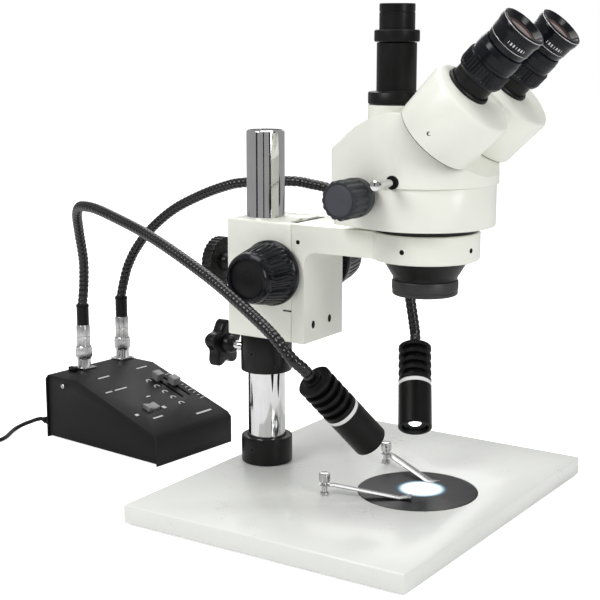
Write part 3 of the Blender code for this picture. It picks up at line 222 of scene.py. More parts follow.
def finish_of(name, dark, light, smooth, dull, metallic=0.0, scale=2000.0, relief=0.00002,
              stretch=(1.0, 1.0, 1.0), fine=0.35, coat=0.0):
    """A procedural finish: two close tints, a gloss range and a bump as deep as the grain."""
    made = bpy.data.materials.new(name)
    made.use_nodes = True
    tree = made.node_tree
    shader = tree.nodes["Principled BSDF"]
    shader.inputs["Metallic"].default_value = metallic
    # dark paints and plastics carry a weaker sheen than the light enamels and the metals
    shader.inputs["Specular IOR Level"].default_value = 0.22 if max(light) < 0.1 else 0.5
    shader.inputs["Coat Weight"].default_value = coat
    shader.inputs["Coat Roughness"].default_value = 0.06
    grain = tree.nodes.new("ShaderNodeGroup")
    grain.node_tree = GRAIN
    grain.inputs["Dark"].default_value = (*dark, 1.0)
    grain.inputs["Light"].default_value = (*light, 1.0)
    grain.inputs["Scale"].default_value = scale
    grain.inputs["Smooth"].default_value = smooth
    grain.inputs["Dull"].default_value = dull
    grain.inputs["Stretch"].default_value = stretch
    grain.inputs["Fine"].default_value = fine
    bump = tree.nodes.new("ShaderNodeBump")
    bump.inputs["Strength"].default_value = 0.6
    bump.inputs["Distance"].default_value = relief
    tree.links.new(grain.outputs["Color"], shader.inputs["Base Color"])
    tree.links.new(grain.outputs["Roughness"], shader.inputs["Roughness"])
    tree.links.new(grain.outputs["Height"], bump.inputs["Height"])
    tree.links.new(bump.outputs["Normal"], shader.inputs["Normal"])
    return made


def grey(value):
    return (value, value, value)


def settle(made, body, slot, *materials, smooth=35.0, bevel=0.0, segments=2, node=None):
    """Shading, edge rounding, materials and body of a finished piece, and the node it stands for; its slot is
    not used.
    """
    for material in materials:
        made.data.materials.append(material)
    made.data.shade_smooth()
    if bevel:
        rounding = made.modifiers.new("edges", "BEVEL")
        rounding.width = bevel
        rounding.segments = segments
        rounding.limit_method = "ANGLE"
        rounding.angle_limit = radians(30.0)
        rounding.harden_normals = True
        rounding.use_clamp_overlap = True
    else:
        made.data.set_sharp_from_angle(angle=radians(smooth))
    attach(made, body)
    if node:
        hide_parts(node)
    return made


def spun(profile, steps, closed=False):
    """A turned shape on local Z from (radius, height) pairs, poles and seam merged."""
    bm = bmesh.new()
    line = [bm.verts.new((radius, 0.0, height)) for radius, height in profile]
    edges = [bm.edges.new(pair) for pair in zip(line, line[1:])]
    if closed:
        edges.append(bm.edges.new((line[-1], line[0])))
    bmesh.ops.spin(bm, geom=line + edges, cent=(0.0, 0.0, 0.0), axis=(0.0, 0.0, 1.0), dvec=(0.0, 0.0, 0.0),
                   angle=2.0 * pi, steps=steps, use_merge=True, use_duplicate=False)
    bmesh.ops.remove_doubles(bm, verts=bm.verts, dist=0.000002)
    bmesh.ops.recalc_face_normals(bm, faces=bm.faces)
    return bm


def stand(bm, at, along=(0.0, 0.0, 1.0), turn=0.0):
    """Carries a shape from local Z to its axis in the frame."""
    frame_turn = Vector(along).to_track_quat("Z", "Y").to_matrix().to_4x4()
    spot = Matrix.Translation(at) @ frame_turn @ Matrix.Rotation(radians(turn), 4, "Z")
    bmesh.ops.transform(bm, matrix=spot, verts=bm.verts)
    return bm


CORD_RADIUS = 0.0020
GAP = 0.0003
GROUND = -0.0015
LIE = GROUND + CORD_RADIUS + GAP
BOX_CORNER = Vector((-0.0298, 0.1975, GROUND))
BOX_TURN = Matrix.Rotation(radians(-5.5), 4, "Z")
BOX_LENGTH = 0.1496
RELIEF_LENGTH = 0.021
EXIT_ACROSS, EXIT_HEIGHT = 0.014, 0.010


def on_box(across, along, height):
    """A place on the lamp box, from its front left corner on the floor."""
    return BOX_CORNER + BOX_TURN @ Vector((across, along, height))


rearward = (on_box(0.0, 1.0, 0.0) - on_box(0.0, 0.0, 0.0)).normalized()
relief_tip = on_box(EXIT_ACROSS, BOX_LENGTH + RELIEF_LENGTH + 2.0 * GAP, EXIT_HEIGHT)
ROUTE = [(0.0004, 0.3760, 0.0068), (-0.0026, 0.3810, 0.0046), (-0.0080, 0.3846, 0.0028),
         (-0.0150, 0.3856, 0.0015), (-0.0230, 0.3838, LIE), (-0.0320, 0.3792, LIE),
         (-0.0420, 0.3738, LIE), (-0.0525, 0.3706, LIE), (-0.0630, 0.3716, LIE), (-0.0705, 0.3775, LIE)]
COIL_CENTRE = Vector((-0.105, 0.378, 0.0))
COLUMNS = (0.02615, 0.02185)
LAYER = 0.0042
JOIN_ANGLE = 20.0
join_radius = 0.0283 + CORD_RADIUS + GAP


def on_coil(angle, radius, height):
    return COIL_CENTRE + Vector((radius * cos(radians(angle)), radius * sin(radians(angle)), height))


def smooth_through(points, spacing):
    """Points on one smooth curve through the given ones."""
    points = [Vector(p) for p in points]
    ends = [points[0] * 2 - points[1]] + points + [points[-1] * 2 - points[-2]]
    made = [points[0]]
    for before, start, end, after in zip(ends, ends[1:], ends[2:], ends[3:]):
        steps = max(1, round((end - start).length / spacing))
        for step in range(1, steps + 1):
            t = step / steps
            made.append(0.5 * (2.0 * start + (end - before) * t
                               + (2.0 * before - 5.0 * start + 4.0 * end - after) * t ** 2
                               + (3.0 * start - before - 3.0 * end + after) * t ** 3))
    return made


# each turn holds its place and then moves in, out or up a layer, a little earlier each time
CHANGE = 50.0
HOLD = 260.0
winding = [(JOIN_ANGLE, join_radius, LIE), (JOIN_ANGLE + CHANGE, COLUMNS[0], LIE)]
layer, column = 0, 0
for turn in range(8):
    angle = winding[-1][0] + HOLD
    winding.append((angle, COLUMNS[column], LIE + layer * LAYER))
    if turn % 2 == 0:
        column = 1 - column
    else:
        layer += 1
    winding.append((angle + CHANGE, COLUMNS[column], LIE + layer * LAYER))
last = winding[-1][0]
top = LIE + layer * LAYER
tail = [(last + HOLD, COLUMNS[0], top), (last + HOLD + CHANGE, join_radius, top - 0.001),
        (last + 360.0, 0.0312, 0.0120), (last + 390.0, 0.0318, 0.0064), (last + 425.0, 0.0325, 0.0030),
        (last + 460.0, 0.0333, 0.0032), (last + 500.6, 0.0338, 0.0058)]
winding += tail
coil_points = []
for (a0, r0, z0), (a1, r1, z1) in zip(winding, winding[1:]):
    steps = max(2, round((a1 - a0) / 10.0))
    for step in range(1, steps + 1):
        t = step / steps
        ease = t * t * (3.0 - 2.0 * t)
        coil_points.append(on_coil(a0 + (a1 - a0) * t, r0 + (r1 - r0) * ease, z0 + (z1 - z0) * ease))
laid_route = [relief_tip + rearward * 0.004, *ROUTE, on_coil(JOIN_ANGLE, join_radius, LIE)]
POINT_SPACING = 0.0042
cord_points = [relief_tip] + smooth_through(laid_route, POINT_SPACING) + coil_points

cord_curve = bpy.data.curves.new("mains_lead", "CURVE")
cord_curve.dimensions = "3D"
cord_curve.bevel_depth = CORD_RADIUS
cord_curve.bevel_resolution = 5
cord_curve.use_fill_caps = True
run = cord_curve.splines.new("POLY")
run.points.add(len(cord_points) - 1)
for spot, at in zip(run.points, cord_points):
    spot.co = (*at, 1.0)
mains_lead = bpy.data.objects.new("mains_lead", cord_curve)
bpy.context.scene.collection.objects.link(mains_lead)
BLACK_PVC = finish_of("black_pvc", grey(0.0048), grey(0.0088), 0.34, 0.50, scale=1800.0, relief=0.00003)
cord_curve.materials.append(BLACK_PVC)
for spline in cord_curve.splines:
    spline.use_smooth = True
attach(mains_lead, "base")
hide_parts("power_cord", "cord_coil")

# the strap goes once round all the turns
strap_bm = bmesh.new()
inner_side, outer_side = 0.0197, 0.0283
strap_low, strap_high = LIE - CORD_RADIUS - 0.00002, top + CORD_RADIUS + 0.0002
corners = [(inner_side, strap_low), (outer_side, strap_low), (outer_side, strap_high), (inner_side, strap_high)]
rim = [strap_bm.verts.new((radius, -0.004, height)) for radius, height in corners]
loop = [strap_bm.edges.new(pair) for pair in zip(rim, rim[1:] + rim[:1])]
pushed = bmesh.ops.extrude_edge_only(strap_bm, edges=loop)["geom"]
far_rim = [g for g in pushed if isinstance(g, bmesh.types.BMVert)]
bmesh.ops.translate(strap_bm, verts=far_rim, vec=(0.0, 0.008, 0.0))
long_edges = [e for e in strap_bm.edges if abs(e.verts[0].co.y - e.verts[1].co.y) > 0.001]
bmesh.ops.bevel(strap_bm, geom=long_edges, offset=0.0012, offset_type="OFFSET", segments=3, profile=0.5,
                affect="EDGES", material=-1)
bmesh.ops.recalc_face_normals(strap_bm, faces=strap_bm.faces)
bmesh.ops.solidify(strap_bm, geom=strap_bm.faces[:], thickness=0.0002)
bmesh.ops.transform(strap_bm, matrix=Matrix.Translation(COIL_CENTRE) @ Matrix.Rotation(radians(250.0), 4, "Z"),
                    verts=strap_bm.verts)
STRAP_CLOTH = finish_of("strap_cloth", grey(0.02), grey(0.06), 0.8, 0.95, scale=1400.0, relief=0.0002, fine=0.8)
cord_strap = settle(link_mesh("cord_strap", strap_bm), "base", "black_plastic", STRAP_CLOTH)

# ribbed relief: a flange against the box, then a taper with six thin ribs
relief_profile = [(0.0, 0.0), (0.0060, 0.0), (0.0060, 0.0028), (0.0054, 0.0034)]
for rib in range(6):
    low = 0.0040 + rib * 0.0026
    radius = 0.0047 - rib * 0.00026
    relief_profile += [(radius - 0.0007, low), (radius, low + 0.0004), (radius - 0.0001, low + 0.0014),
                       (radius - 0.0008, low + 0.0018)]
relief_profile += [(0.0026, RELIEF_LENGTH - 0.0004), (0.0022, RELIEF_LENGTH), (0.0, RELIEF_LENGTH)]
relief_foot = on_box(EXIT_ACROSS, BOX_LENGTH + GAP, EXIT_HEIGHT)
relief_bm = stand(spun(relief_profile, 32), relief_foot, rearward)
SOFT_RUBBER = finish_of("soft_rubber", grey(0.004), grey(0.008), 0.55, 0.75, scale=2600.0, relief=0.00004)
relief = settle(link_mesh("cord_relief_boot", relief_bm), "base", "rubber", SOFT_RUBBER, node="cord_relief")


def body_of(node):
    return nodes[node]["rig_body"]


def corners_of(node):
    """The node's lowest and highest corners."""
    return [Vector(corner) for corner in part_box(node)]


def dressed(node, slot, *materials, name=None, bevel=0.0, segments=2, smooth=30.0):
    """The CAD node's own shape, merged into clean faces, with rounded edges and a real finish."""
    bm = bmesh.new()
    bm.from_mesh(nodes[node].data)
    bmesh.ops.remove_doubles(bm, verts=bm.verts, dist=0.00001)
    bmesh.ops.dissolve_limit(bm, angle_limit=radians(1.0), verts=bm.verts, edges=bm.edges)
    made = link_mesh(name or node + "_piece", bm)
    made.data.materials.clear()
    return settle(made, body_of(node), slot, *materials, smooth=smooth, bevel=bevel, segments=segments,
                  node=node)


NICKEL = finish_of("brushed_nickel", grey(0.5), grey(0.66), 0.20, 0.34, metallic=1.0, scale=900.0,
                   relief=0.00001, stretch=(1.0, 1.0, 0.06), fine=0.7)
plug = dressed("cord_plug", "black_plastic", BLACK_PVC, NICKEL, name="mains_plug", bevel=0.0006)
BLADE_LENGTH = 0.0158
blade_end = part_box("cord_plug")[0][1] + BLADE_LENGTH
for face in plug.data.polygons:
    if all(plug.data.vertices[i].co.y < blade_end for i in face.vertices):
        face.material_index = 1


# ---------------------------------------------------------------- base plate, feet and stage plate
# Thick enamelled board on four rubber feet, with a round black contrast plate let into its top.
ENAMEL = finish_of("cream_enamel", (0.782, 0.79, 0.715), (0.800, 0.808, 0.735), 0.32, 0.40, scale=900.0,
                   relief=0.00001, fine=0.6, coat=0.12)
BOARD_ENAMEL = finish_of("board_enamel", (0.735, 0.745, 0.715), (0.755, 0.765, 0.735), 0.26, 0.34, scale=900.0,
                         relief=0.000006, fine=0.6, coat=0.08)
dressed("base_plate", "white_paint", BOARD_ENAMEL, bevel=0.0012, segments=3)
for foot in ("foot_front_left", "foot_front_right", "foot_rear_left", "foot_rear_right"):
    dressed(foot, "rubber", SOFT_RUBBER, bevel=0.0003)

STAGE_BLACK = finish_of("stage_black", grey(0.0032), grey(0.0064), 0.28, 0.42, scale=1600.0, relief=0.00001)
stage_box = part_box("stage_plate")
stage_centre = (Vector(stage_box[0]) + Vector(stage_box[1])) / 2.0
stage_radius = (stage_box[1][0] - stage_box[0][0]) / 2.0
stage_top = stage_box[1][2]
stage_bm = spun([(0.0, stage_top), (stage_radius - 0.0011, stage_top),
                 (stage_radius - 0.0006, stage_top - 0.0001), (stage_radius, stage_top - 0.0006),
                 (stage_radius, stage_box[0][2]), (0.0, stage_box[0][2])], 120)
stand(stage_bm, (stage_centre.x, stage_centre.y, 0.0))
settle(link_mesh("stage_disc", stage_bm), "base", "black_paint", STAGE_BLACK, node="stage_plate")

# painted pool of light: a glowing disc on the black plate stands in for the soft spot that the lamp heads throw
# on it
SPOT_X, SPOT_Y, SPOT_LIFT = 0.0055, -0.0517, 0.00006
SPOT_RADIUS, SPOT_CORE, SPOT_EDGE = 0.0235, 0.0140, 0.0230
spot_bm = bmesh.new()
bmesh.ops.create_circle(spot_bm, cap_ends=True, segments=64, radius=SPOT_RADIUS)
bmesh.ops.inset_region(spot_bm, faces=spot_bm.faces[:], thickness=0.003, use_even_offset=True)
bmesh.ops.translate(spot_bm, verts=spot_bm.verts, vec=(SPOT_X, SPOT_Y, stage_top + SPOT_LIFT))
PAINTED_LIGHT_POOL = bpy.data.materials.new("painted_lamp_pool")
PAINTED_LIGHT_POOL.use_nodes = True
spot_tree = PAINTED_LIGHT_POOL.node_tree
spot_shader = spot_tree.nodes["Principled BSDF"]
spot_shader.inputs["Base Color"].default_value = (0.1, 0.1, 0.1, 1.0)
spot_shader.inputs["Roughness"].default_value = 0.5
spot_shader.inputs["Emission Strength"].default_value = 1.0
spot_place = spot_tree.nodes.new("ShaderNodeTexCoord")
spot_map = spot_tree.nodes.new("ShaderNodeMapping")
spot_map.inputs["Location"].default_value = (-SPOT_X, -SPOT_Y, -stage_top)
spot_away = spot_tree.nodes.new("ShaderNodeVectorMath")
spot_away.operation = "LENGTH"
spot_tree.links.new(spot_place.outputs["Object"], spot_map.inputs["Vector"])
spot_tree.links.new(spot_map.outputs["Vector"], spot_away.inputs[0])
spot_glow = spot_tree.nodes.new("ShaderNodeMapRange")
spot_glow.interpolation_type = "SMOOTHSTEP"
spot_glow.inputs["From Min"].default_value = SPOT_CORE
spot_glow.inputs["From Max"].default_value = SPOT_EDGE
spot_glow.inputs["To Min"].default_value = 1.0
spot_glow.inputs["To Max"].default_value = 0.0
spot_tree.links.new(spot_away.outputs["Value"], spot_glow.inputs["Value"])
# painted light: the pool runs from white in its core through pale and blue fringes to nothing at its edge
spot_ramp = spot_tree.nodes.new("ShaderNodeValToRGB")
spot_ramp.color_ramp.elements[0].color = (0.0, 0.0, 0.0, 1.0)
spot_ramp.color_ramp.elements[1].color = (1.0, 1.0, 1.0, 1.0)
edge_blue = spot_ramp.color_ramp.elements.new(0.35)
edge_blue.color = (0.06, 0.25, 0.42, 1.0)
edge_pale = spot_ramp.color_ramp.elements.new(0.75)
edge_pale.color = (0.66, 0.90, 1.0, 1.0)
spot_tree.links.new(spot_glow.outputs["Result"], spot_ramp.inputs["Fac"])
spot_tree.links.new(spot_ramp.outputs["Color"], spot_shader.inputs["Emission Color"])
spot_tree.links.new(spot_glow.outputs["Result"], spot_shader.inputs["Alpha"])
settle(link_mesh("painted_light_pool", spot_bm), "base", "black_paint", PAINTED_LIGHT_POOL)


# ---------------------------------------------------------------- stage clips
# Nickel-plated posts screwed into the board, each holding a sprung steel strip on the plate.
SPRING_STEEL = finish_of("spring_steel", grey(0.42), grey(0.58), 0.22, 0.36, metallic=1.0, scale=1500.0,
                         relief=0.00001, fine=0.6)
for side in ("left", "right"):
    low, high = corners_of(f"clip_post_{side}")
    post_height = high.z - low.z
    post_bm = spun([(0.0, post_height), (0.0037, post_height), (0.0043, post_height - 0.0003),
                    (0.0045, post_height - 0.0010), (0.0045, post_height - 0.0065),
                    (0.0041, post_height - 0.0072), (0.0026, post_height - 0.0075),
                    (0.0022, post_height - 0.0079), (0.0022, 0.0024), (0.0033, 0.0019), (0.0035, 0.0014),
                    (0.0035, 0.0), (0.0, 0.0)], 40)
    stand(post_bm, ((low.x + high.x) / 2.0, (low.y + high.y) / 2.0, low.z))
    settle(link_mesh(f"clip_post_{side}_turned", post_bm), "base", "nickel", NICKEL, node=f"clip_post_{side}")
    dressed(f"stage_clip_{side}", "steel", SPRING_STEEL, bevel=0.0002)


# ---------------------------------------------------------------- pillar and its collars
# Hard-chromed steel tube held in a black cast collar on the board; a second collar with a
# clamp knob sits under the focus housing so that it can't drop.
CHROME = finish_of("polished_chrome", grey(0.62), grey(0.72), 0.045, 0.09, metallic=1.0, scale=500.0,
                   relief=0.000001, stretch=(1.0, 1.0, 0.1), fine=0.5)
pillar_low, pillar_high = corners_of("pillar")
pillar_y = (pillar_low.y + pillar_high.y) / 2.0
pillar_r = (pillar_high.x - pillar_low.x) / 2.0
pillar_bm = stand(spun([(pillar_r - 0.003, pillar_low.z), (pillar_r - 0.0008, pillar_low.z),
                        (pillar_r, pillar_low.z + 0.0008), (pillar_r, pillar_high.z - 0.0020),
                        (pillar_r - 0.0004, pillar_high.z - 0.0007), (pillar_r - 0.0014, pillar_high.z),
                        (pillar_r - 0.003, pillar_high.z)], 96, closed=True), (0.0, pillar_y, 0.0))
settle(link_mesh("pillar_tube", pillar_bm), "base", "chrome", CHROME, node="pillar")
cap_r = pillar_r - 0.0031
cap_bm = stand(spun([(0.0, 0.0), (cap_r, 0.0), (cap_r, -0.004), (0.0, -0.004)], 64),
               (0.0, pillar_y, pillar_high.z - 0.0006))
BLACK_MOULDED = finish_of("black_moulded", grey(0.0044), grey(0.0084), 0.20, 0.34, scale=1500.0,
                          relief=0.00001)
settle(link_mesh("pillar_cap", cap_bm), "base", "black_plastic", BLACK_MOULDED)

COLLAR_BLACK = finish_of("collar_black", grey(0.004), grey(0.008), 0.24, 0.38, scale=1300.0, relief=0.00002)


def collar(node, name):
    low, high = corners_of(node)
    outer, inner = (high.x - low.x) / 2.0, pillar_r + 0.0003
    bm = spun([(inner, low.z), (outer - 0.0012, low.z), (outer - 0.0003, low.z + 0.0004),
               (outer, low.z + 0.0013), (outer, high.z - 0.0015), (outer - 0.0004, high.z - 0.0005),
               (outer - 0.0014, high.z), (inner + 0.0008, high.z), (inner, high.z - 0.0008)], 80, closed=True)
    settle(link_mesh(name, stand(bm, (0.0, pillar_y, 0.0))), body_of(node), "black_paint", COLLAR_BLACK,
           node=node)
    return outer, low.z, high.z


collar(node="base_collar", name="base_collar_ring")
collar_r, collar_low, collar_high = collar(node="safety_collar", name="safety_collar_ring")

# near-black for hole mouths: the selector bush's own black, and painted shade for the depth of screw sockets
# and counterbores
BLACK_AND_HOLE_SHADE = finish_of("socket_black_and_painted_shade", grey(0.0016), grey(0.0036), 0.6, 0.8, scale=1500.0)
SCREW_STEEL = finish_of("blackened_screw", grey(0.015), grey(0.035), 0.35, 0.5, metallic=0.6, scale=1500.0)


def socket_screw(name, at, out, radius, body, rim=None):
    """A countersunk socket screw: a thin rim round a flat near-black hexagon, painted shade for its deep
    socket, flush with the surface.
    """
    ring = spun([(radius * 0.55, -0.0002), (radius * 0.62, 0.00010), (radius * 0.94, 0.00012),
                 (radius, -0.0002)], 24, closed=True)
    settle(link_mesh(name, stand(ring, at, out)), body, "black_paint", rim or SCREW_STEEL)
    # painted shade: a flat near-black hexagon for the shaded depth of the socket
    painted_shade_disc = bmesh.new()
    bmesh.ops.create_circle(painted_shade_disc, cap_ends=True, segments=6, radius=radius * 0.60)
    bmesh.ops.translate(painted_shade_disc, verts=painted_shade_disc.verts, vec=(0.0, 0.0, 0.00006))
    settle(link_mesh(name + "_socket", stand(painted_shade_disc, at, out)), body, "black_paint", BLACK_AND_HOLE_SHADE)


LEFTWARD = (-1.0, 0.0, 0.0)
GRUB_RADIUS, GRUB_SUNK = 0.0026, 0.00005
socket_screw("collar_grub_screw", (GRUB_SUNK - collar_r, pillar_y, (collar_low + collar_high) / 2.0),
             LEFTWARD, GRUB_RADIUS, body_of("safety_collar"))
socket_screw("base_collar_screw", (GRUB_SUNK - 0.022, pillar_y, 0.030), LEFTWARD, GRUB_RADIUS, "base")


# ---------------------------------------------------------------- clamp knobs
# Moulded knobs on chromed studs: a five-lobed star for the stop collar and a round ribbed one
# for the focus housing.
def clamp_knob(node, name, sides, depth, turn, edge, soft):
    low, high = corners_of(node)
    x, z = (low.x + high.x) / 2.0, (low.z + high.z) / 2.0
    thick = 0.011
    radius = high.z - z if sides > 8 else (high.z - low.z) / (1.0 + cos(pi / sides))
    bm = bmesh.new()
    bmesh.ops.create_circle(bm, cap_ends=True, segments=sides * 12, radius=radius)
    for vert in bm.verts:
        lobe = 1.0 - depth + depth * cos(sides * (atan2(vert.co.y, vert.co.x) - radians(turn)))
        bmesh.ops.scale(bm, vec=(lobe, lobe, 1.0), verts=[vert])
    raised = bmesh.ops.extrude_face_region(bm, geom=bm.faces[:])["geom"]
    front_verts = [g for g in raised if isinstance(g, bmesh.types.BMVert)]
    bmesh.ops.translate(bm, verts=front_verts, vec=(0.0, 0.0, thick))
    bmesh.ops.recalc_face_normals(bm, faces=bm.faces)
    rims = [e for e in bm.edges if len(e.link_faces) == 2 and e.calc_face_angle(0.0) > 1.2]
    bmesh.ops.bevel(bm, geom=rims, offset=edge, offset_type="OFFSET", segments=5, profile=0.5,
                    affect="EDGES", material=-1)
    front = max((f for f in bm.faces if len(f.verts) > 40), key=lambda f: f.calc_center_median().z)
    bmesh.ops.inset_region(bm, faces=[front], thickness=0.0030, use_even_offset=True)
    bmesh.ops.translate(bm, verts=front.verts, vec=(0.0, 0.0, -0.0012))
    stand(bm, (x, high.y - thick, z), (0.0, 1.0, 0.0))
    settle(link_mesh(name, bm), body_of(node), "black_plastic", BLACK_MOULDED, smooth=soft, node=node)
    hub_bm = spun([(0.0, 0.0006), (0.0080, 0.0006), (0.0088, 0.0), (0.0080, -0.0040), (0.0066, -0.0070),
                   (0.0056, -0.0078), (0.0, -0.0078)], 40)
    settle(link_mesh(name + "_hub", stand(hub_bm, (x, high.y - thick, z), (0.0, 1.0, 0.0))), body_of(node),
           "black_plastic", BLACK_MOULDED)
    stud_bm = spun([(0.0, 0.019), (0.0040, 0.019), (0.0040, 0.0010), (0.0034, 0.0), (0.0, 0.0)], 32)
    stud = stand(stud_bm, (x, low.y, z), (0.0, 1.0, 0.0))
    settle(link_mesh(name + "_stud", stud), body_of(node), "chrome", CHROME)
    cap = spun([(0.0, 0.0006), (0.0040, 0.0004), (0.0052, 0.0), (0.0, -0.0004)], 32)
    settle(link_mesh(name + "_insert", stand(cap, (x, high.y - 0.0008, z), (0.0, 1.0, 0.0))), body_of(node),
           "black_plastic", BLACK_MOULDED)


clamp_knob("collar_star_knob", "stop_collar_knob", 5, 0.15, 90.0, 0.0024, 50.0)
clamp_knob("housing_clamp_knob", "housing_round_knob", 30, 0.018, 0.0, 0.0014, 30.0)


# ---------------------------------------------------------------- focus housing
# Die-cast block bored for the pillar, with the dovetail slide let into its front and the
# pinion's bearing bosses on both sides.
dressed("focus_housing", "white_paint", ENAMEL, name="focus_housing_cast", bevel=0.0005)
# painted shade: near-black for thin bars laid in the gaps of the slide, where shade falls
GAP_SHADE_BLACK = finish_of("joint_shadow", grey(0.02), grey(0.05), 0.6, 0.8, scale=1500.0)
RACK_BRASS = finish_of("rack_brass", (0.55, 0.40, 0.16), (0.68, 0.52, 0.24), 0.25, 0.4, metallic=1.0,
                       scale=900.0)
BRIGHT_STEEL = finish_of("ground_steel", grey(0.45), grey(0.6), 0.18, 0.30, metallic=1.0, scale=900.0,
                         fine=0.6)
dressed("focus_rack", "brass", RACK_BRASS, bevel=0.0001)
dressed("pinion_shaft", "steel", BRIGHT_STEEL, bevel=0.0002)


def flat_bar(name, centre, size, body, slot, material, turn=None, bevel=0.0):
    """A thin rectangular piece with rounded edges, centred where it is let in."""
    bm = bmesh.new()
    bmesh.ops.create_cube(bm, size=1.0)
    bmesh.ops.scale(bm, vec=size, verts=bm.verts)
    if bevel:
        bmesh.ops.bevel(bm, geom=bm.edges[:], offset=bevel, offset_type="OFFSET", segments=3, profile=0.5,
                        affect="EDGES", material=-1)
    move = Matrix.Translation(centre) @ (turn or Matrix.Identity(4))
    bmesh.ops.transform(bm, matrix=move, verts=bm.verts)
    return settle(link_mesh(name, bm), body, slot, material)


# half the width of the housing and of the bracket's plate
HALF = 0.0295
for side, sign in (("left", -1.0), ("right", 1.0)):
    # gib strip along the slide, and a near-black bar of painted shade in the gap at its foot
    flat_bar(f"slide_gib_{side}", (sign * (HALF + 0.0002), 0.0565, 0.1925), (0.0008, 0.0080, 0.0670),
             "focus_block", "white_paint", ENAMEL, bevel=0.00030)
    flat_bar(f"gib_shadow_{side}", (sign * (HALF + 0.00006), 0.0565, 0.1578), (0.0003, 0.0082, 0.0012),
             "focus_block", "black_paint", GAP_SHADE_BLACK)


# ---------------------------------------------------------------- focus knobs
# Black moulded knobs on the pinion shaft: a plain rim against the housing, long tapering ribs
# to grip, and a bright ring round the recessed outer face.
def flute(bm, low, high, count, depths, body_r):
    """Draws in the strips of a turned skin between two heights, for ribs or knurling."""
    step = 2.0 * pi / (count * len(depths))
    for vert in bm.verts:
        radius = (vert.co.x ** 2 + vert.co.y ** 2) ** 0.5
        if low <= vert.co.z <= high and radius > body_r:
            strip = round(atan2(vert.co.y, vert.co.x) / step) % len(depths)
            share = depths[strip] / radius
            vert.co.x *= 1.0 - share
            vert.co.y *= 1.0 - share


GRIP_BLACK = finish_of("grip_black", (0.003, 0.0035, 0.005), (0.007, 0.0075, 0.011), 0.14, 0.26, scale=1400.0,
                       relief=0.000012)
FACE_BLACK = finish_of("face_black", grey(0.004), grey(0.0088), 0.42, 0.60, scale=1100.0, relief=0.00003)
for side, sign in (("left", -1.0), ("right", 1.0)):
    low, high = corners_of(f"focus_knob_{side}")
    inner_x = high.x if sign < 0.0 else low.x
    knob_y, knob_z = (low.y + high.y) / 2.0, (low.z + high.z) / 2.0
    r, length = (high.y - low.y) / 2.0, high.x - low.x
    profile = [(0.0045, 0.0), (r - 0.0012, 0.0), (r - 0.0003, 0.0004), (r, 0.0013), (r, 0.0046),
               (r - 0.0004, 0.0056), (r * 0.955, 0.0064), (r * 0.945, 0.0078), (r * 0.905, 0.0140),
               (r * 0.865, 0.0200), (r * 0.825, 0.0260), (r * 0.795, 0.0296), (r * 0.775, 0.0312),
               (r * 0.765, 0.0330), (r * 0.745, 0.0350), (r * 0.705, 0.0370), (r * 0.670, length),
               (r * 0.625, length), (r * 0.600, length - 0.0006), (r * 0.590, length - 0.0030)]
    bm = spun(profile, 144)
    flute(bm, 0.0078 - 1e-5, 0.0296 + 1e-5, 36, (0.0, 0.0, 0.0009, 0.0009), r * 0.70)
    foot, outward = (inner_x, knob_y, knob_z), (sign, 0.0, 0.0)
    settle(link_mesh(f"focus_knob_{side}_grip", stand(bm, foot, outward)), "focus_drive", "black_plastic",
           GRIP_BLACK, smooth=28.0, node=f"focus_knob_{side}")
    face_bm = spun([(0.0, length - 0.0034), (r * 0.20, length - 0.0034), (r * 0.22, length - 0.0028),
                    (r * 0.52, length - 0.0028), (r * 0.56, length - 0.0030), (r * 0.600, length - 0.0031),
                    (r * 0.600, length - 0.0050), (0.0, length - 0.0050)], 72)
    settle(link_mesh(f"focus_knob_{side}_face", stand(face_bm, foot, outward)), "focus_drive",
           "black_plastic", FACE_BLACK)


# ---------------------------------------------------------------- arm bracket
# One enamelled casting: the plate that rides on the slide, the arm, and the ring for the head.
dressed("arm_bracket", "white_paint", ENAMEL, name="arm_bracket_cast", bevel=0.0005)


def counterbore(name, at, out, radius, stretch, body, wall, slot="white_paint"):
    """A recess with a rounded enamel lip, its inside a flat black disc of painted shade."""
    lip = spun([(radius * 0.82, 0.00002), (radius * 0.88, 0.00016), (radius * 0.98, 0.00014),
                (radius * 1.06, -0.0002)], 32, closed=True)
    bmesh.ops.scale(lip, vec=(1.0, stretch, 1.0), verts=lip.verts)
    settle(link_mesh(name + "_lip", stand(lip, at, out)), body, slot, wall)
    painted_shade_disc = bmesh.new()
    # painted shade: a flat black disc for the shaded inside of the recess
    bmesh.ops.create_circle(painted_shade_disc, cap_ends=True, segments=32, radius=radius * 0.86)
    bmesh.ops.scale(painted_shade_disc, vec=(1.0, stretch, 1.0), verts=painted_shade_disc.verts)
    bmesh.ops.translate(painted_shade_disc, verts=painted_shade_disc.verts, vec=(0.0, 0.0, 0.00005))
    settle(link_mesh(name + "_well", stand(painted_shade_disc, at, out)), body, "black_paint", BLACK_AND_HOLE_SHADE)


FRONT_FACE, LIP_PROUD = 0.0400, 0.00003
for side, x, z in (("left", -0.016, 0.146), ("right", 0.009, 0.147)):
    counterbore(f"slide_screw_{side}", (x, FRONT_FACE - LIP_PROUD, z), (0.0, -1.0, 0.0), 0.0030, 1.35, "arm",
                ENAMEL)
counterbore("arm_side_hole", (-HALF - LIP_PROUD, 0.046, 0.2155), LEFTWARD, 0.0022, 1.0, "arm", ENAMEL)
ring_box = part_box("ring_lock_knob")
ring_centre = Vector((0.0, (ring_box[0][1] + ring_box[1][1]) / 2.0, (ring_box[0][2] + ring_box[1][2]) / 2.0))
ring_surface, screw_drop = 0.04248, Vector((0.0, 0.0, -0.001))
for name, angle in (("ring_screw_left", 183.0), ("ring_screw_front", 262.0)):
    out = Vector((cos(radians(angle)), sin(radians(angle)), 0.0))
    counterbore(name, ring_centre + out * ring_surface + screw_drop, out, 0.0024, 1.0, "arm", ENAMEL)
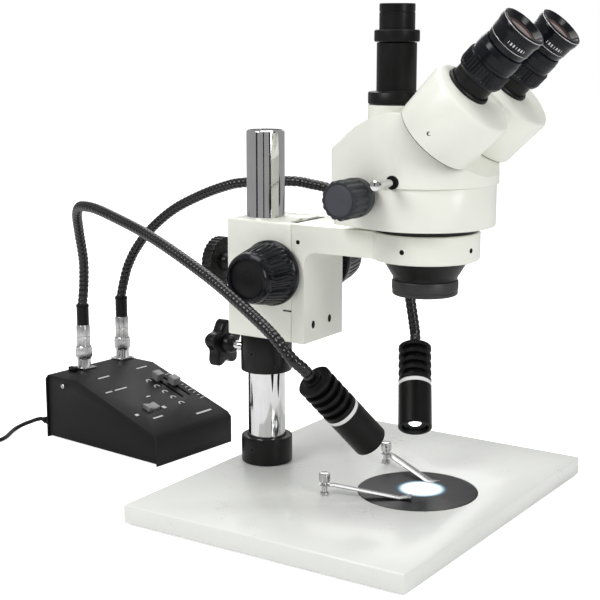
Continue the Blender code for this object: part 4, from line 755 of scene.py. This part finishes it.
dressed("ring_lock_knob", "black_plastic", BLACK_MOULDED, bevel=0.0003)

# painted shade: a near-black bar for the shadowed slot over the slide, between the bracket plate and the
# housing
flat_bar("slide_top_gap_shade", (0.0, 0.0535, 0.22985), (0.0415, 0.0016, 0.0006), "arm", "black_paint", GAP_SHADE_BLACK)


# ---------------------------------------------------------------- head shells
# Two enamelled castings screwed together at a seam, turning in the arm's ring on a black washer.
dressed("lower_body", "white_paint", ENAMEL, name="lower_body_cast", bevel=0.0006)
dressed("upper_body", "white_paint", ENAMEL, name="upper_body_cast", bevel=0.0009, segments=3)
optic_y = -0.0545
washer_bm = spun([(0.0390, 0.2303), (0.0405, 0.2303), (0.0407, 0.2306), (0.0407, 0.2346), (0.0390, 0.2346)],
                 120, closed=True)
settle(link_mesh("turning_washer", stand(washer_bm, (0.0, optic_y, 0.0))), "head", "black_paint",
       COLLAR_BLACK)
seam_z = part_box("lower_body")[1][2]
socket_screw("head_screw_left", (-0.0559, -0.030, seam_z - 0.010), LEFTWARD, 0.0022, "head")


# ---------------------------------------------------------------- objective
# Black anodised cone screwed under the head, its brass cell with two doublets, and the
# auxiliary lens in its knurled ring.
ANODISED = finish_of("black_anodised", grey(0.0048), grey(0.0088), 0.30, 0.42, metallic=0.15, scale=1700.0,
                     relief=0.000012)
cone_low, cone_high = corners_of("objective_cone")
cone_r = (cone_high.x - cone_low.x) / 2.0
cone_top, cone_end = cone_high.z, cone_low.z
cone_bm = stand(spun([(0.0303, cone_top), (cone_r - 0.0008, cone_top), (cone_r, cone_top - 0.0006),
                      (cone_r, 0.2092), (cone_r - 0.0006, 0.2082), (0.0268, cone_end + 0.0036),
                      (0.0260, cone_end + 0.0026), (0.0252, cone_end), (0.0227, cone_end),
                      (0.0275, cone_top - 0.0054), (0.0303, cone_top - 0.0053)], 96, closed=True),
                (0.0, optic_y, 0.0))
settle(link_mesh("objective_cone_turned", cone_bm), "head", "black_anodised", ANODISED, node="objective_cone")
RING_GREY = finish_of("worn_anodised", grey(0.035), grey(0.06), 0.34, 0.46, metallic=0.3, scale=1500.0,
                      relief=0.000015)
ring_low, ring_high = corners_of("barlow_ring")
lens_r = (ring_high.x - ring_low.x) / 2.0
barlow_bm = spun([(lens_r - 0.0035, ring_high.z), (lens_r - 0.0016, ring_high.z),
                  (lens_r - 0.0006, ring_high.z - 0.0005), (lens_r, ring_high.z - 0.0016),
                  (lens_r, ring_low.z + 0.0044), (lens_r - 0.0007, ring_low.z + 0.0040),
                  (lens_r - 0.0008, ring_low.z + 0.0030), (lens_r - 0.0003, ring_low.z + 0.0026),
                  (lens_r - 0.0004, ring_low.z + 0.0008), (lens_r - 0.0012, ring_low.z),
                  (lens_r - 0.0035, ring_low.z)], 144, closed=True)
flute(barlow_bm, ring_high.z - 0.0050, ring_high.z - 0.0010, 72, (0.0, 0.00025), lens_r - 0.0003)
settle(link_mesh("barlow_ring_turned", stand(barlow_bm, (0.0, optic_y, 0.0))), "head", "black_anodised",
       RING_GREY, node="barlow_ring")
CELL_BRASS = finish_of("cell_brass", (0.30, 0.22, 0.10), (0.42, 0.32, 0.16), 0.3, 0.45, metallic=1.0,
                       scale=900.0)
dressed("objective_cell", "brass", CELL_BRASS, bevel=0.0002)
dressed("zoom_lens_carrier", "brass", CELL_BRASS, bevel=0.0002)


def coated_glass(name, dark, light):
    """Lens glass seen from outside: a dark, glossy skin with a coating tint."""
    made = finish_of(name, dark, light, 0.02, 0.04, scale=300.0, relief=0.0000002, fine=0.1, coat=1.0)
    made.node_tree.nodes["Principled BSDF"].inputs["Coat Roughness"].default_value = 0.01
    return made


LENS_BLUE = coated_glass("lens_blue_coating", (0.010, 0.012, 0.035), (0.03, 0.04, 0.09))
barlow_glass = spun([(0.0, ring_low.z + 0.0015), (0.010, ring_low.z + 0.0019), (0.017, ring_low.z + 0.0028),
                     (lens_r - 0.0036, ring_low.z + 0.0042), (lens_r - 0.0036, ring_low.z + 0.0060),
                     (0.0, ring_low.z + 0.0060)], 72)
settle(link_mesh("barlow_lens", stand(barlow_glass, (0.0, optic_y, 0.0))), "head", "black_anodised", LENS_BLUE)


# ---------------------------------------------------------------- zoom knobs and shaft
# Charcoal moulded knobs on a steel cross shaft: plain collar, fluted grip, scalloped front rim
# and a satin face.
dressed("zoom_shaft", "steel", BRIGHT_STEEL, bevel=0.0002)
CHARCOAL = finish_of("charcoal_moulding", (0.020, 0.021, 0.025), (0.034, 0.036, 0.042), 0.34, 0.50,
                     scale=1500.0, relief=0.00002)
KNOB_FACE = finish_of("knob_face_satin", (0.040, 0.043, 0.052), (0.060, 0.064, 0.076), 0.40, 0.52,
                      scale=1300.0, relief=0.00001)
for side, sign in (("left", -1.0), ("right", 1.0)):
    low, high = corners_of(f"zoom_knob_{side}")
    inner_x = high.x if sign < 0.0 else low.x
    zoom_y, zoom_z = (low.y + high.y) / 2.0, (low.z + high.z) / 2.0
    r, length = (high.y - low.y) / 2.0, high.x - low.x
    bm = spun([(0.0045, 0.0), (r - 0.0040, 0.0), (r - 0.0026, 0.0006), (r - 0.0008, 0.0024),
               (r - 0.0003, 0.0042), (r, 0.0100), (r, 0.0112), (r - 0.0005, 0.0120), (r - 0.0004, 0.0128),
               (r - 0.0002, 0.0190), (r - 0.0001, 0.0250), (r, length - 0.0020),
               (r - 0.0004, length - 0.0008), (r - 0.0016, length), (r - 0.0028, length - 0.0002),
               (r - 0.0032, length - 0.0006), (0.0, length - 0.0008)], 128)
    flute(bm, 0.0128 - 1e-5, length - 0.0007, 16,
          (0.0, 0.0, 0.0, 0.0003, 0.0009, 0.0011, 0.0009, 0.0003), r * 0.85)
    foot, outward = (inner_x, zoom_y, zoom_z), (sign, 0.0, 0.0)
    settle(link_mesh(f"zoom_knob_{side}_grip", stand(bm, foot, outward)), "zoom_drive", "dark_grey_plastic",
           CHARCOAL, smooth=32.0, node=f"zoom_knob_{side}")
    disc = spun([(0.0, length - 0.0002), (r - 0.0038, length - 0.0002), (r - 0.0034, length - 0.0004),
                 (r - 0.0034, length - 0.0012), (0.0, length - 0.0012)], 64)
    settle(link_mesh(f"zoom_knob_{side}_face", stand(disc, foot, outward)), "zoom_drive",
           "dark_grey_plastic", KNOB_FACE)
    # shaft bush in the lower shell
    bush = spun([(0.0043, 0.0), (0.0078, 0.0), (0.0078, 0.0018), (0.0070, 0.0026), (0.0043, 0.0026)], 40,
                closed=True)
    settle(link_mesh(f"zoom_bush_{side}", stand(bush, (sign * 0.0553, zoom_y, zoom_z), outward)), "head",
           "black_plastic", BLACK_MOULDED)


# ---------------------------------------------------------------- port selector rod
# Chromed pull rod that swings the camera port's mirror, in a black bush in the shell.
rod_low, rod_high = corners_of("port_selector_rod")
rod_y, rod_z = (rod_low.y + rod_high.y) / 2.0, (rod_low.z + rod_high.z) / 2.0
rod_bm = spun([(0.0, 0.0), (0.0028, 0.0), (0.0037, -0.0005), (0.0040, -0.0013), (0.0040, -0.0118),
               (0.0036, -0.0128), (0.0030, -0.0133), (0.0030, -0.046), (0.0, -0.046)], 48)
settle(link_mesh("port_selector_pull", stand(rod_bm, (rod_low.x, rod_y, rod_z), LEFTWARD)), "port_selector",
       "chrome", CHROME, node="port_selector_rod")
bush_bm = spun([(0.0032, -0.003), (0.0052, -0.003), (0.0052, 0.0002), (0.0048, 0.0005), (0.0032, 0.0005)], 40,
               closed=True)
settle(link_mesh("selector_bush", stand(bush_bm, (-0.0574, rod_y, rod_z), LEFTWARD)), "head",
       "black_plastic", BLACK_AND_HOLE_SHADE)


# ---------------------------------------------------------------- camera port
# Black anodised tube on the shell's neck, a knurled lock ring on top of it, and the plain
# adapter tube that slides in it.
tube_low, tube_high = corners_of("photo_tube")
port_y = (tube_low.y + tube_high.y) / 2.0
port_r, flange_r = 0.01555, (tube_high.x - tube_low.x) / 2.0
flange_top = tube_low.z + 0.0097
PORT_BORE = 0.0142
port_bm = stand(spun([(PORT_BORE, tube_low.z), (flange_r - 0.0008, tube_low.z), (flange_r, tube_low.z + 0.0008),
                      (flange_r, flange_top - 0.0012), (flange_r - 0.0006, flange_top - 0.0003),
                      (flange_r - 0.0014, flange_top), (port_r + 0.0008, flange_top),
                      (port_r, flange_top + 0.0007),
                      (port_r, tube_high.z - 0.0006), (port_r - 0.0005, tube_high.z), (PORT_BORE, tube_high.z)],
                     96, closed=True), (0.0, port_y, 0.0))
settle(link_mesh("photo_tube_turned", port_bm), "head", "black_anodised", ANODISED, node="photo_tube")
lock_low, lock_high = corners_of("photo_lock_ring")
lock_r = (lock_high.x - lock_low.x) / 2.0
lock_bm = spun([(PORT_BORE, lock_low.z), (lock_r - 0.0010, lock_low.z), (lock_r - 0.0002, lock_low.z + 0.0006),
                (lock_r, lock_low.z + 0.0012), (lock_r, lock_high.z - 0.0012),
                (lock_r - 0.0002, lock_high.z - 0.0006),
                (lock_r - 0.0010, lock_high.z), (PORT_BORE, lock_high.z)], 144, closed=True)
flute(lock_bm, lock_low.z + 0.0011, lock_high.z - 0.0011, 72, (0.0, 0.0002), lock_r - 0.0003)
settle(link_mesh("photo_lock_ring_turned", stand(lock_bm, (0.0, port_y, 0.0))), "photo_ring",
       "black_anodised", ANODISED, node="photo_lock_ring")
adapt_low, adapt_high = corners_of("photo_adapter_tube")
adapt_r = (adapt_high.x - adapt_low.x) / 2.0
adapt_bm = spun([(adapt_r - 0.0015, adapt_low.z), (adapt_r, adapt_low.z), (adapt_r, adapt_high.z - 0.0070),
                 (adapt_r - 0.0003, adapt_high.z - 0.0067), (adapt_r - 0.0003, adapt_high.z - 0.0060),
                 (adapt_r, adapt_high.z - 0.0057), (adapt_r, adapt_high.z - 0.0005),
                 (adapt_r - 0.0004, adapt_high.z),
                 (adapt_r - 0.0015, adapt_high.z)], 96, closed=True)
settle(link_mesh("photo_adapter_turned", stand(adapt_bm, (0.0, port_y, 0.0))), "photo_adapter",
       "black_anodised", ANODISED, node="photo_adapter_tube")


# ---------------------------------------------------------------- prism drums
# Enamelled castings that hold the prisms and swing on the sloping seat to set the eye spacing.
for side in ("left", "right"):
    drum = joints[f"eye_spacing_{side}"]
    axis, seat = Vector(drum["axis"]).normalized(), Vector(drum["pos_m"])
    dressed(f"prism_drum_{side}", "white_paint", ENAMEL, name=f"prism_drum_{side}_cast", bevel=0.0006,
            segments=3, smooth=25.0)
    body = f"drum_{side}"
    # black seating washer; its black also serves as painted shade for the gap that shows between drum and shell
    seat_ring = spun([(0.0280, 0.0001), (0.0318, 0.0001), (0.0318, 0.0012), (0.0280, 0.0012)], 80, closed=True)
    settle(link_mesh(f"drum_washer_{side}", stand(seat_ring, seat, axis)), body, "black_paint", COLLAR_BLACK)
    # two grub screws round the skirt
    sideways = Vector((1.0, 0.0, 0.0))
    across = axis.cross(sideways).normalized()
    for number, angle in ((1, 188.0), (2, 352.0)):
        out = sideways * cos(radians(angle)) + across * sin(radians(angle))
        socket_screw(f"drum_screw_{side}_{number}", seat + axis * 0.012 + out * 0.03278, out, 0.0017, body)


# ---------------------------------------------------------------- eyepiece tubes, diopter rings, eyepieces
# Each drum holds a black tube; a ribbed diopter ring turns on it and lifts the eyepiece, whose
# rim carries thin bright lines and a coated eye lens.
LENS_ROSE = coated_glass("lens_rose_coating", (0.10, 0.055, 0.050), (0.20, 0.12, 0.11))
RIM_SILVER = finish_of("rim_silver", grey(0.6), grey(0.75), 0.25, 0.35, metallic=0.8, scale=900.0)
MARK_WHITE = finish_of("engraved_white", grey(0.55), grey(0.7), 0.5, 0.6, scale=2500.0)
for side in ("left", "right"):
    row = joints[f"diopter_{side}_turn"]
    axis, eye = Vector(row["axis"]).normalized(), Vector(row["pos_m"])
    tube_bm = spun([(0.0140, -0.020), (0.0155, -0.020), (0.0155, 0.0136), (0.0152, 0.0140), (0.0140, 0.0140)],
                   72, closed=True)
    settle(link_mesh(f"eyepiece_tube_{side}_turned", stand(tube_bm, eye, axis)), f"drum_{side}",
           "black_anodised", ANODISED, node=f"eyepiece_tube_{side}")
    collar_bm = spun([(0.0157, 0.0), (0.0176, 0.0), (0.0176, 0.0016), (0.0168, 0.0026), (0.0157, 0.0026)], 72,
                     closed=True)
    settle(link_mesh(f"tube_collar_{side}", stand(collar_bm, eye, axis)), f"drum_{side}", "black_anodised",
           ANODISED)

    r, low, high = 0.0185, 0.0115, 0.0400
    ring_bm = spun([(0.0158, low), (r - 0.0020, low), (r - 0.0012, low + 0.0008), (r - 0.0003, low + 0.0028),
                    (r - 0.0002, low + 0.0036), (r, low + 0.0042), (r, low + 0.0135),
                    (r - 0.0003, low + 0.0140),
                    (r - 0.0016, low + 0.0146), (r - 0.0017, low + 0.0168), (r - 0.0012, low + 0.0174),
                    (r - 0.0011, low + 0.0240), (r - 0.0014, high - 0.0040), (r - 0.0016, high - 0.0012),
                    (r - 0.0022, high), (r - 0.0046, high), (r - 0.0046, low + 0.003), (0.0158, low + 0.003)],
                   160, closed=True)
    flute(ring_bm, low + 0.0041, low + 0.0136, 40, (0.0, 0.0, 0.0007, 0.0007), r - 0.0012)
    settle(link_mesh(f"diopter_ring_{side}_turned", stand(ring_bm, eye, axis)), f"diopter_{side}",
           "black_plastic", GRIP_BLACK, smooth=30.0, node=f"diopter_ring_{side}")
    rim, base, top = 0.0180, 0.0403, 0.0614
    barrel = 0.0134
    eye_bm = spun([(0.0, -0.004), (barrel, -0.004), (barrel, base), (rim - 0.0026, base),
                   (rim - 0.0020, base + 0.0010),
                   (rim - 0.0014, base + 0.0046), (rim - 0.0012, base + 0.0052), (rim - 0.0015, base + 0.0056),
                   (rim - 0.0012, base + 0.0060), (rim - 0.0009, base + 0.0125), (rim - 0.0004, base + 0.0148),
                   (rim, base + 0.0158), (rim, top - 0.0014), (rim - 0.0003, top - 0.0005), (rim - 0.0010, top),
                   (rim - 0.0020, top), (rim - 0.0027, top - 0.0006), (rim - 0.0048, top - 0.0036),
                   (rim - 0.0056, top - 0.0042), (rim - 0.0060, top - 0.0043), (0.0, top - 0.0043)], 96)
    settle(link_mesh(f"eyepiece_{side}_turned", stand(eye_bm, eye, axis)), f"eyepiece_{side}",
           "black_plastic", GRIP_BLACK, smooth=30.0, node=f"eyepiece_{side}")
    bright_lines = ((base + 0.0056, rim - 0.00138), (top - 0.0012, rim - 0.00002))
    for number, (at, radius) in enumerate(bright_lines, start=1):
        line = spun([(radius - 0.0004, -0.00028), (radius, -0.00028), (radius + 0.00012, 0.0),
                     (radius, 0.00028), (radius - 0.0004, 0.00028)], 96, closed=True)
        settle(link_mesh(f"eyepiece_line_{side}_{number}", stand(line, eye + axis * at, axis)),
               f"eyepiece_{side}", "nickel", RIM_SILVER)
    # seven short printed marks round the barrel, every third one thinner
    for number in range(-3, 4):
        mark = bmesh.new()
        bmesh.ops.create_cube(mark, size=1.0)
        bmesh.ops.scale(mark, vec=(0.0011 if number % 3 else 0.0004, 0.0002, 0.0022), verts=mark.verts)
        bmesh.ops.translate(mark, verts=mark.verts, vec=(0.0, -(rim - 0.00100), base + 0.0098))
        round_to = Matrix.Rotation(radians(number * 8.0 - 50.0), 3, "Z")
        bmesh.ops.rotate(mark, cent=(0.0, 0.0, 0.0), matrix=round_to, verts=mark.verts)
        settle(link_mesh(f"eyepiece_mark_{side}_{number + 4}", stand(mark, eye, axis)), f"eyepiece_{side}",
               "black_plastic", MARK_WHITE)
    glass = spun([(0.0, top - 0.0030), (0.0045, top - 0.0032), (0.0090, top - 0.0037), (0.0118, top - 0.0042),
                  (0.0118, top - 0.0050), (0.0, top - 0.0050)], 72)
    settle(link_mesh(f"eye_lens_{side}", stand(glass, eye, axis)), f"eyepiece_{side}", "black_plastic",
           LENS_ROSE)


# ---------------------------------------------------------------- lamp box
# Folded steel cover in satin black over a steel tray, with chromed sockets for the lamp arms.
SATIN_BLACK = finish_of("satin_black_paint", grey(0.004), grey(0.008), 0.46, 0.58, scale=2200.0, relief=0.00004,
                        fine=0.7)
dressed("lamp_box_cover", "black_paint", SATIN_BLACK, name="lamp_box_cover_sheet", bevel=0.0004)
dressed("lamp_box_tray", "black_paint", SATIN_BLACK, name="lamp_box_tray_sheet", bevel=0.0003)
REAR, FRONT, SHELF = 0.0622, 0.0281, 0.0456
box_slope = atan2(REAR - FRONT, BOX_LENGTH - SHELF)
slope_turn = BOX_TURN @ Matrix.Rotation(box_slope, 4, "X")


def on_slope(across, up, lift=0.0):
    """A place on the sloping panel: across the box, and up from the front edge in plan."""
    surface = on_box(across, up, FRONT + up * sin(box_slope) / cos(box_slope))
    return surface + slope_turn @ Vector((0.0, 0.0, lift))


PRINT_GREY = finish_of("panel_print", grey(0.42), grey(0.55), 0.5, 0.65, scale=2500.0)


def print_bar(name, across, up, width, height):
    """A printed bar on the sloping panel."""
    bm = bmesh.new()
    bmesh.ops.create_cube(bm, size=1.0)
    bmesh.ops.scale(bm, vec=(width, height, 0.0001), verts=bm.verts)
    place = Matrix.Translation(on_slope(across, up, 0.00008)) @ slope_turn
    bmesh.ops.transform(bm, matrix=place, verts=bm.verts)
    settle(link_mesh(name, bm), "base", "black_paint", PRINT_GREY)


bars = ((0.0760, 0.0135, 0.0200, 0.0022), (0.0300, 0.0770, 0.0150, 0.0017), (0.0150, 0.0770, 0.0080, 0.0017),
        (0.0300, 0.1000, 0.0140, 0.0017), (0.0800, 0.1000, 0.0140, 0.0017), (0.0106, 0.0356, 0.0040, 0.0030),
        (0.0453, 0.0354, 0.0040, 0.0040), (0.0266, 0.0247, 0.0120, 0.0018), (0.0453, 0.0560, 0.0050, 0.0018))
for number, (across, up, width, height) in enumerate(bars, start=1):
    print_bar(f"panel_bar_{number}", across, up, width, height)
for number in range(10):
    width = 0.0060 if number % 3 == 0 else 0.0036
    print_bar(f"panel_tick_{number + 1}", 0.0950, 0.0800 - number * 0.0052, width, 0.0009)
for number in range(5):
    arch = bmesh.new()
    bmesh.ops.create_circle(arch, segments=20, radius=0.0033)
    lower = [v for v in arch.verts if v.co.y < -0.0012]
    bmesh.ops.delete(arch, geom=lower, context="VERTS")
    inner = bmesh.ops.extrude_edge_only(arch, edges=arch.edges[:])["geom"]
    bmesh.ops.scale(arch, vec=(0.62, 0.62, 1.0), verts=[g for g in inner if isinstance(g, bmesh.types.BMVert)])
    bmesh.ops.recalc_face_normals(arch, faces=arch.faces)
    for face in arch.faces:
        if face.normal.z < 0.0:
            face.normal_flip()
    spot = Matrix.Translation(on_slope(0.0675, 0.0770 - number * 0.0108, 0.00012)) @ slope_turn
    bmesh.ops.transform(arch, matrix=spot, verts=arch.verts)
    settle(link_mesh(f"panel_arch_{number + 1}", arch), "base", "black_paint", PRINT_GREY)

GREY_MOULDED = finish_of("grey_moulding", grey(0.16), grey(0.22), 0.38, 0.50, scale=1600.0, relief=0.00002)
for number in (1, 2):
    dressed(f"brightness_slider_{number}", "grey_plastic", GREY_MOULDED, name=f"brightness_slider_{number}_cap",
            bevel=0.0008, segments=3)
dressed("power_switch", "black_plastic", GREY_MOULDED, name="power_switch_rocker", bevel=0.0004)

# the screw in the cover's left side, and the small latch behind the first socket
out = BOX_TURN @ Vector(LEFTWARD)
screw_bm = spun([(0.0, 0.0008), (0.0006, 0.0008), (0.0016, 0.0006), (0.0022, 0.0), (0.0, 0.0)], 24)
screw_at = on_box(0.0, 0.1250, 0.0540) + out * 0.00002
settle(link_mesh("cover_screw", stand(screw_bm, screw_at, out)), "base", "nickel", NICKEL)
flat_bar("socket_latch_1", on_box(0.0245, BOX_LENGTH - 0.0125, REAR + 0.0022), (0.0050, 0.0090, 0.0044),
         "base", "black_plastic", BLACK_MOULDED, BOX_TURN, bevel=0.0008)

for number in (1, 2):
    dressed(f"lamp_socket_{number}", "chrome", CHROME, name=f"lamp_socket_{number}_shell", bevel=0.0002)
    low, high = corners_of(f"lamp_plug_{number}")
    at, height = Vector(((low.x + high.x) / 2.0, (low.y + high.y) / 2.0, low.z)), high.z - low.z
    r = 0.0066
    plug_bm = spun([(0.0, 0.0), (r + 0.0002, 0.0), (r + 0.0009, 0.0010), (r + 0.0014, 0.0020),
                    (r + 0.0014, 0.0088),
                    (r + 0.0010, 0.0100), (r + 0.0010, 0.0112), (r + 0.0002, 0.0122), (r, 0.0128), (r, 0.0210),
                    (r - 0.0004, 0.0214), (r - 0.0004, 0.0222), (r, 0.0226), (r, height - 0.0014),
                    (r - 0.0006, height), (0.0, height)], 96)
    flute(plug_bm, 0.0019, 0.0089, 48, (0.0, 0.0003), r + 0.0010)
    settle(link_mesh(f"lamp_plug_{number}_turned", stand(plug_bm, at)), f"lamp_arm_{number}", "chrome",
           NICKEL, node=f"lamp_plug_{number}")


# ---------------------------------------------------------------- goosenecks
# Flexible arms wound from round black-oxide wire over a core, pressed into a smooth steel
# ferrule at the plug and into the back of the lamp head.
WOUND_BLACK = finish_of("black_oxide_coil", grey(0.004), grey(0.009), 0.14, 0.24, scale=2500.0, relief=0.00001)
WOUND_BLACK.node_tree.nodes["Principled BSDF"].inputs["Specular IOR Level"].default_value = 0.45
FERRULE_BLACK = finish_of("ferrule_black", grey(0.0032), grey(0.0064), 0.20, 0.32, metallic=0.2, scale=1800.0,
                          relief=0.00001)
NECK_R, WIRE_PITCH, FERRULE_LONG = 0.00475, 0.0046, 0.020
# how far the skin dips below the wire's crown at each ring of one turn of it
WIRE_DIPS = (0.00042, 0.00018, 0.00005, 0.0, 0.0, 0.00005, 0.00018, 0.00042)
NECK_SIDES = 20
ROUTES = {
    1: ((0.0235, 0.3290, 0.1420), (0.0200, 0.3250, 0.1670), (0.0090, 0.3190, 0.1958), (-0.0045, 0.3085, 0.2152),
        (-0.0140, 0.2965, 0.2246), (-0.0200, 0.2830, 0.2270), (-0.0255, 0.2650, 0.2264),
        (-0.0325, 0.2378, 0.2218), (-0.0440, 0.1968, 0.2138), (-0.0575, 0.1560, 0.2040),
        (-0.0745, 0.1050, 0.1893), (-0.0880, 0.0680, 0.1770),
        (-0.0990, 0.0350, 0.1635), (-0.1050, 0.0160, 0.1540), (-0.1050, 0.0010, 0.1400)),
    2: ((0.0755, 0.3232, 0.1400), (0.0765, 0.3180, 0.1560), (0.0775, 0.3077, 0.1738), (0.0780, 0.2893, 0.1940),
        (0.0787, 0.2620, 0.2146), (0.0790, 0.2312, 0.2297), (0.0780, 0.2002, 0.2410), (0.0785, 0.1768, 0.2462),
        (0.0820, 0.1280, 0.2500), (0.0870, 0.1095, 0.2480), (0.0905, 0.0900, 0.2440), (0.0945, 0.0560, 0.2310),
        (0.0960, 0.0290, 0.2090), (0.0950, 0.0160, 0.1850), (0.0895, 0.0080, 0.1560)),
}
# the middle of each lamp head's back, and where the head points
LAMP_ENDS = {1: ((-0.092, -0.008, 0.124), (-0.042, -0.031, 0.065)),
             2: ((0.078, -0.004, 0.117), (0.031, -0.031, 0.057))}
for number in (1, 2):
    plug_low, plug_high = corners_of(f"lamp_plug_{number}")
    start = Vector(((plug_low.x + plug_high.x) / 2.0, (plug_low.y + plug_high.y) / 2.0, plug_high.z + 0.0002))
    back, aim = (Vector(end) for end in LAMP_ENDS[number])
    forward = (aim - back).normalized()
    ferrule = spun([(0.0, 0.0), (0.0059, 0.0), (0.0059, FERRULE_LONG - 0.0030), (0.0062, FERRULE_LONG - 0.0026),
                    (0.0062, FERRULE_LONG - 0.0008), (0.0058, FERRULE_LONG), (0.0, FERRULE_LONG)], 48)
    settle(link_mesh(f"neck_ferrule_{number}", stand(ferrule, start)), f"lamp_arm_{number}", "black_paint",
           FERRULE_BLACK)
    top = start + Vector((0.0, 0.0, FERRULE_LONG))
    neck_end = back - forward * 0.0002
    line = smooth_through([top - Vector((0.0, 0.0, 0.0020)), top] + [Vector(p) for p in ROUTES[number]]
                          + [neck_end - forward * 0.012, neck_end], WIRE_PITCH / len(WIRE_DIPS))
    wound = bmesh.new()
    rings, side = [], Vector((1.0, 0.0, 0.0))
    for step, point in enumerate(line):
        ahead = (line[min(step + 1, len(line) - 1)] - line[max(step - 1, 0)]).normalized()
        side = (side - ahead * side.dot(ahead)).normalized()
        other = ahead.cross(side)
        radius = NECK_R - WIRE_DIPS[step % len(WIRE_DIPS)]
        rings.append([wound.verts.new(point + (side * cos(turn) + other * sin(turn)) * radius)
                      for turn in (2.0 * pi * k / NECK_SIDES for k in range(NECK_SIDES))])
    for before, after in zip(rings, rings[1:]):
        for k in range(NECK_SIDES):
            beside = (k + 1) % NECK_SIDES
            wound.faces.new((before[k], before[beside], after[beside], after[k]))
    wound.faces.new(list(reversed(rings[0])))
    wound.faces.new(rings[-1])
    bmesh.ops.recalc_face_normals(wound, faces=wound.faces)
    settle(link_mesh(f"gooseneck_{number}_wound", wound), f"lamp_arm_{number}", "black_paint", WOUND_BLACK,
           smooth=60.0, node=f"gooseneck_{number}")


# ---------------------------------------------------------------- lamp heads
# Turned aluminium heads, black anodised: cooling fins behind, a white ring, a smooth barrel
# and the light source set back behind a clear window.
LAMP_BLACK = finish_of("lamp_head_black", grey(0.0028), grey(0.0052), 0.30, 0.42, metallic=0.2, scale=1800.0,
                       relief=0.00001)
RING_WHITE = finish_of("white_ring_print", grey(0.62), grey(0.75), 0.4, 0.55, scale=1800.0)
LAMP_BORE = finish_of("lamp_bore", grey(0.05), grey(0.08), 0.28, 0.40, metallic=0.5, scale=1500.0)
GLOW = bpy.data.materials.new("led_glow")
GLOW.use_nodes = True
glow_bsdf = GLOW.node_tree.nodes["Principled BSDF"]
glow_ramp = GLOW.node_tree.nodes.new("ShaderNodeValToRGB")
glow_grad = GLOW.node_tree.nodes.new("ShaderNodeTexNoise")
glow_grad.inputs["Scale"].default_value = 900.0
glow_ramp.color_ramp.elements[0].color = (0.80, 0.90, 1.0, 1.0)
glow_ramp.color_ramp.elements[1].color = (1.0, 1.0, 1.0, 1.0)
GLOW.node_tree.links.new(glow_grad.outputs["Fac"], glow_ramp.inputs["Fac"])
GLOW.node_tree.links.new(glow_ramp.outputs["Color"], glow_bsdf.inputs["Emission Color"])
glow_bsdf.inputs["Emission Strength"].default_value = 3.0
HEAD_R, HEAD_LONG = 0.0142, 0.080
FINS, FIN_PITCH, FIN_THICK, FIN_ROOT = 5, 0.0078, 0.0034, 0.0102
RING_FROM, RING_TO = 0.0385, 0.0419
for number in (1, 2):
    back, aim = (Vector(end) for end in LAMP_ENDS[number])
    forward = (aim - back).normalized()
    outline = [(0.0, 0.0), (0.0072, 0.0), (0.0078, 0.0006), (0.0078, 0.0026), (0.0092, 0.0030)]
    for fin in range(FINS):
        at = 0.0032 + fin * FIN_PITCH
        outline += [(FIN_ROOT, at), (HEAD_R - 0.0004, at), (HEAD_R, at + 0.0004),
                    (HEAD_R, at + FIN_THICK - 0.0004), (HEAD_R - 0.0004, at + FIN_THICK),
                    (FIN_ROOT, at + FIN_THICK)]
    outline += [(FIN_ROOT, 0.0378), (HEAD_R - 0.0004, 0.0378), (HEAD_R, 0.0382), (HEAD_R, HEAD_LONG - 0.0006),
                (HEAD_R - 0.0006, HEAD_LONG), (HEAD_R - 0.0024, HEAD_LONG),
                (HEAD_R - 0.0028, HEAD_LONG - 0.0006),
                (HEAD_R - 0.0030, HEAD_LONG - 0.0050), (0.0, HEAD_LONG - 0.0050)]
    settle(link_mesh(f"lamp_head_{number}_turned", stand(spun(outline, 96), back, forward)),
           f"lamp_arm_{number}", "black_anodised", LAMP_BLACK, smooth=30.0, node=f"lamp_head_{number}")
    ring = spun([(HEAD_R - 0.0006, RING_FROM), (HEAD_R, RING_FROM), (HEAD_R + 0.00003, RING_FROM + 0.0002),
                 (HEAD_R + 0.00003, RING_TO - 0.0002), (HEAD_R, RING_TO), (HEAD_R - 0.0006, RING_TO)], 96,
                closed=True)
    settle(link_mesh(f"lamp_ring_{number}", stand(ring, back, forward)), f"lamp_arm_{number}",
           "black_anodised", RING_WHITE)
    bore = spun([(0.0, 0.0), (0.0098, 0.0), (0.0102, 0.0004), (0.0102, 0.0012), (0.0080, 0.0006),
                 (0.0, 0.0006)], 72)
    settle(link_mesh(f"lamp_reflector_{number}", stand(bore, back + forward * (HEAD_LONG - 0.0049), forward)),
           f"lamp_arm_{number}", "black_anodised", LAMP_BORE)
    led = spun([(0.0, 0.0010), (0.0030, 0.0009), (0.0046, 0.0005), (0.0052, 0.0), (0.0, 0.0)], 48)
    settle(link_mesh(f"lamp_source_{number}", stand(led, back + forward * (HEAD_LONG - 0.0041), forward)),
           f"lamp_arm_{number}", "black_anodised", GLOW)
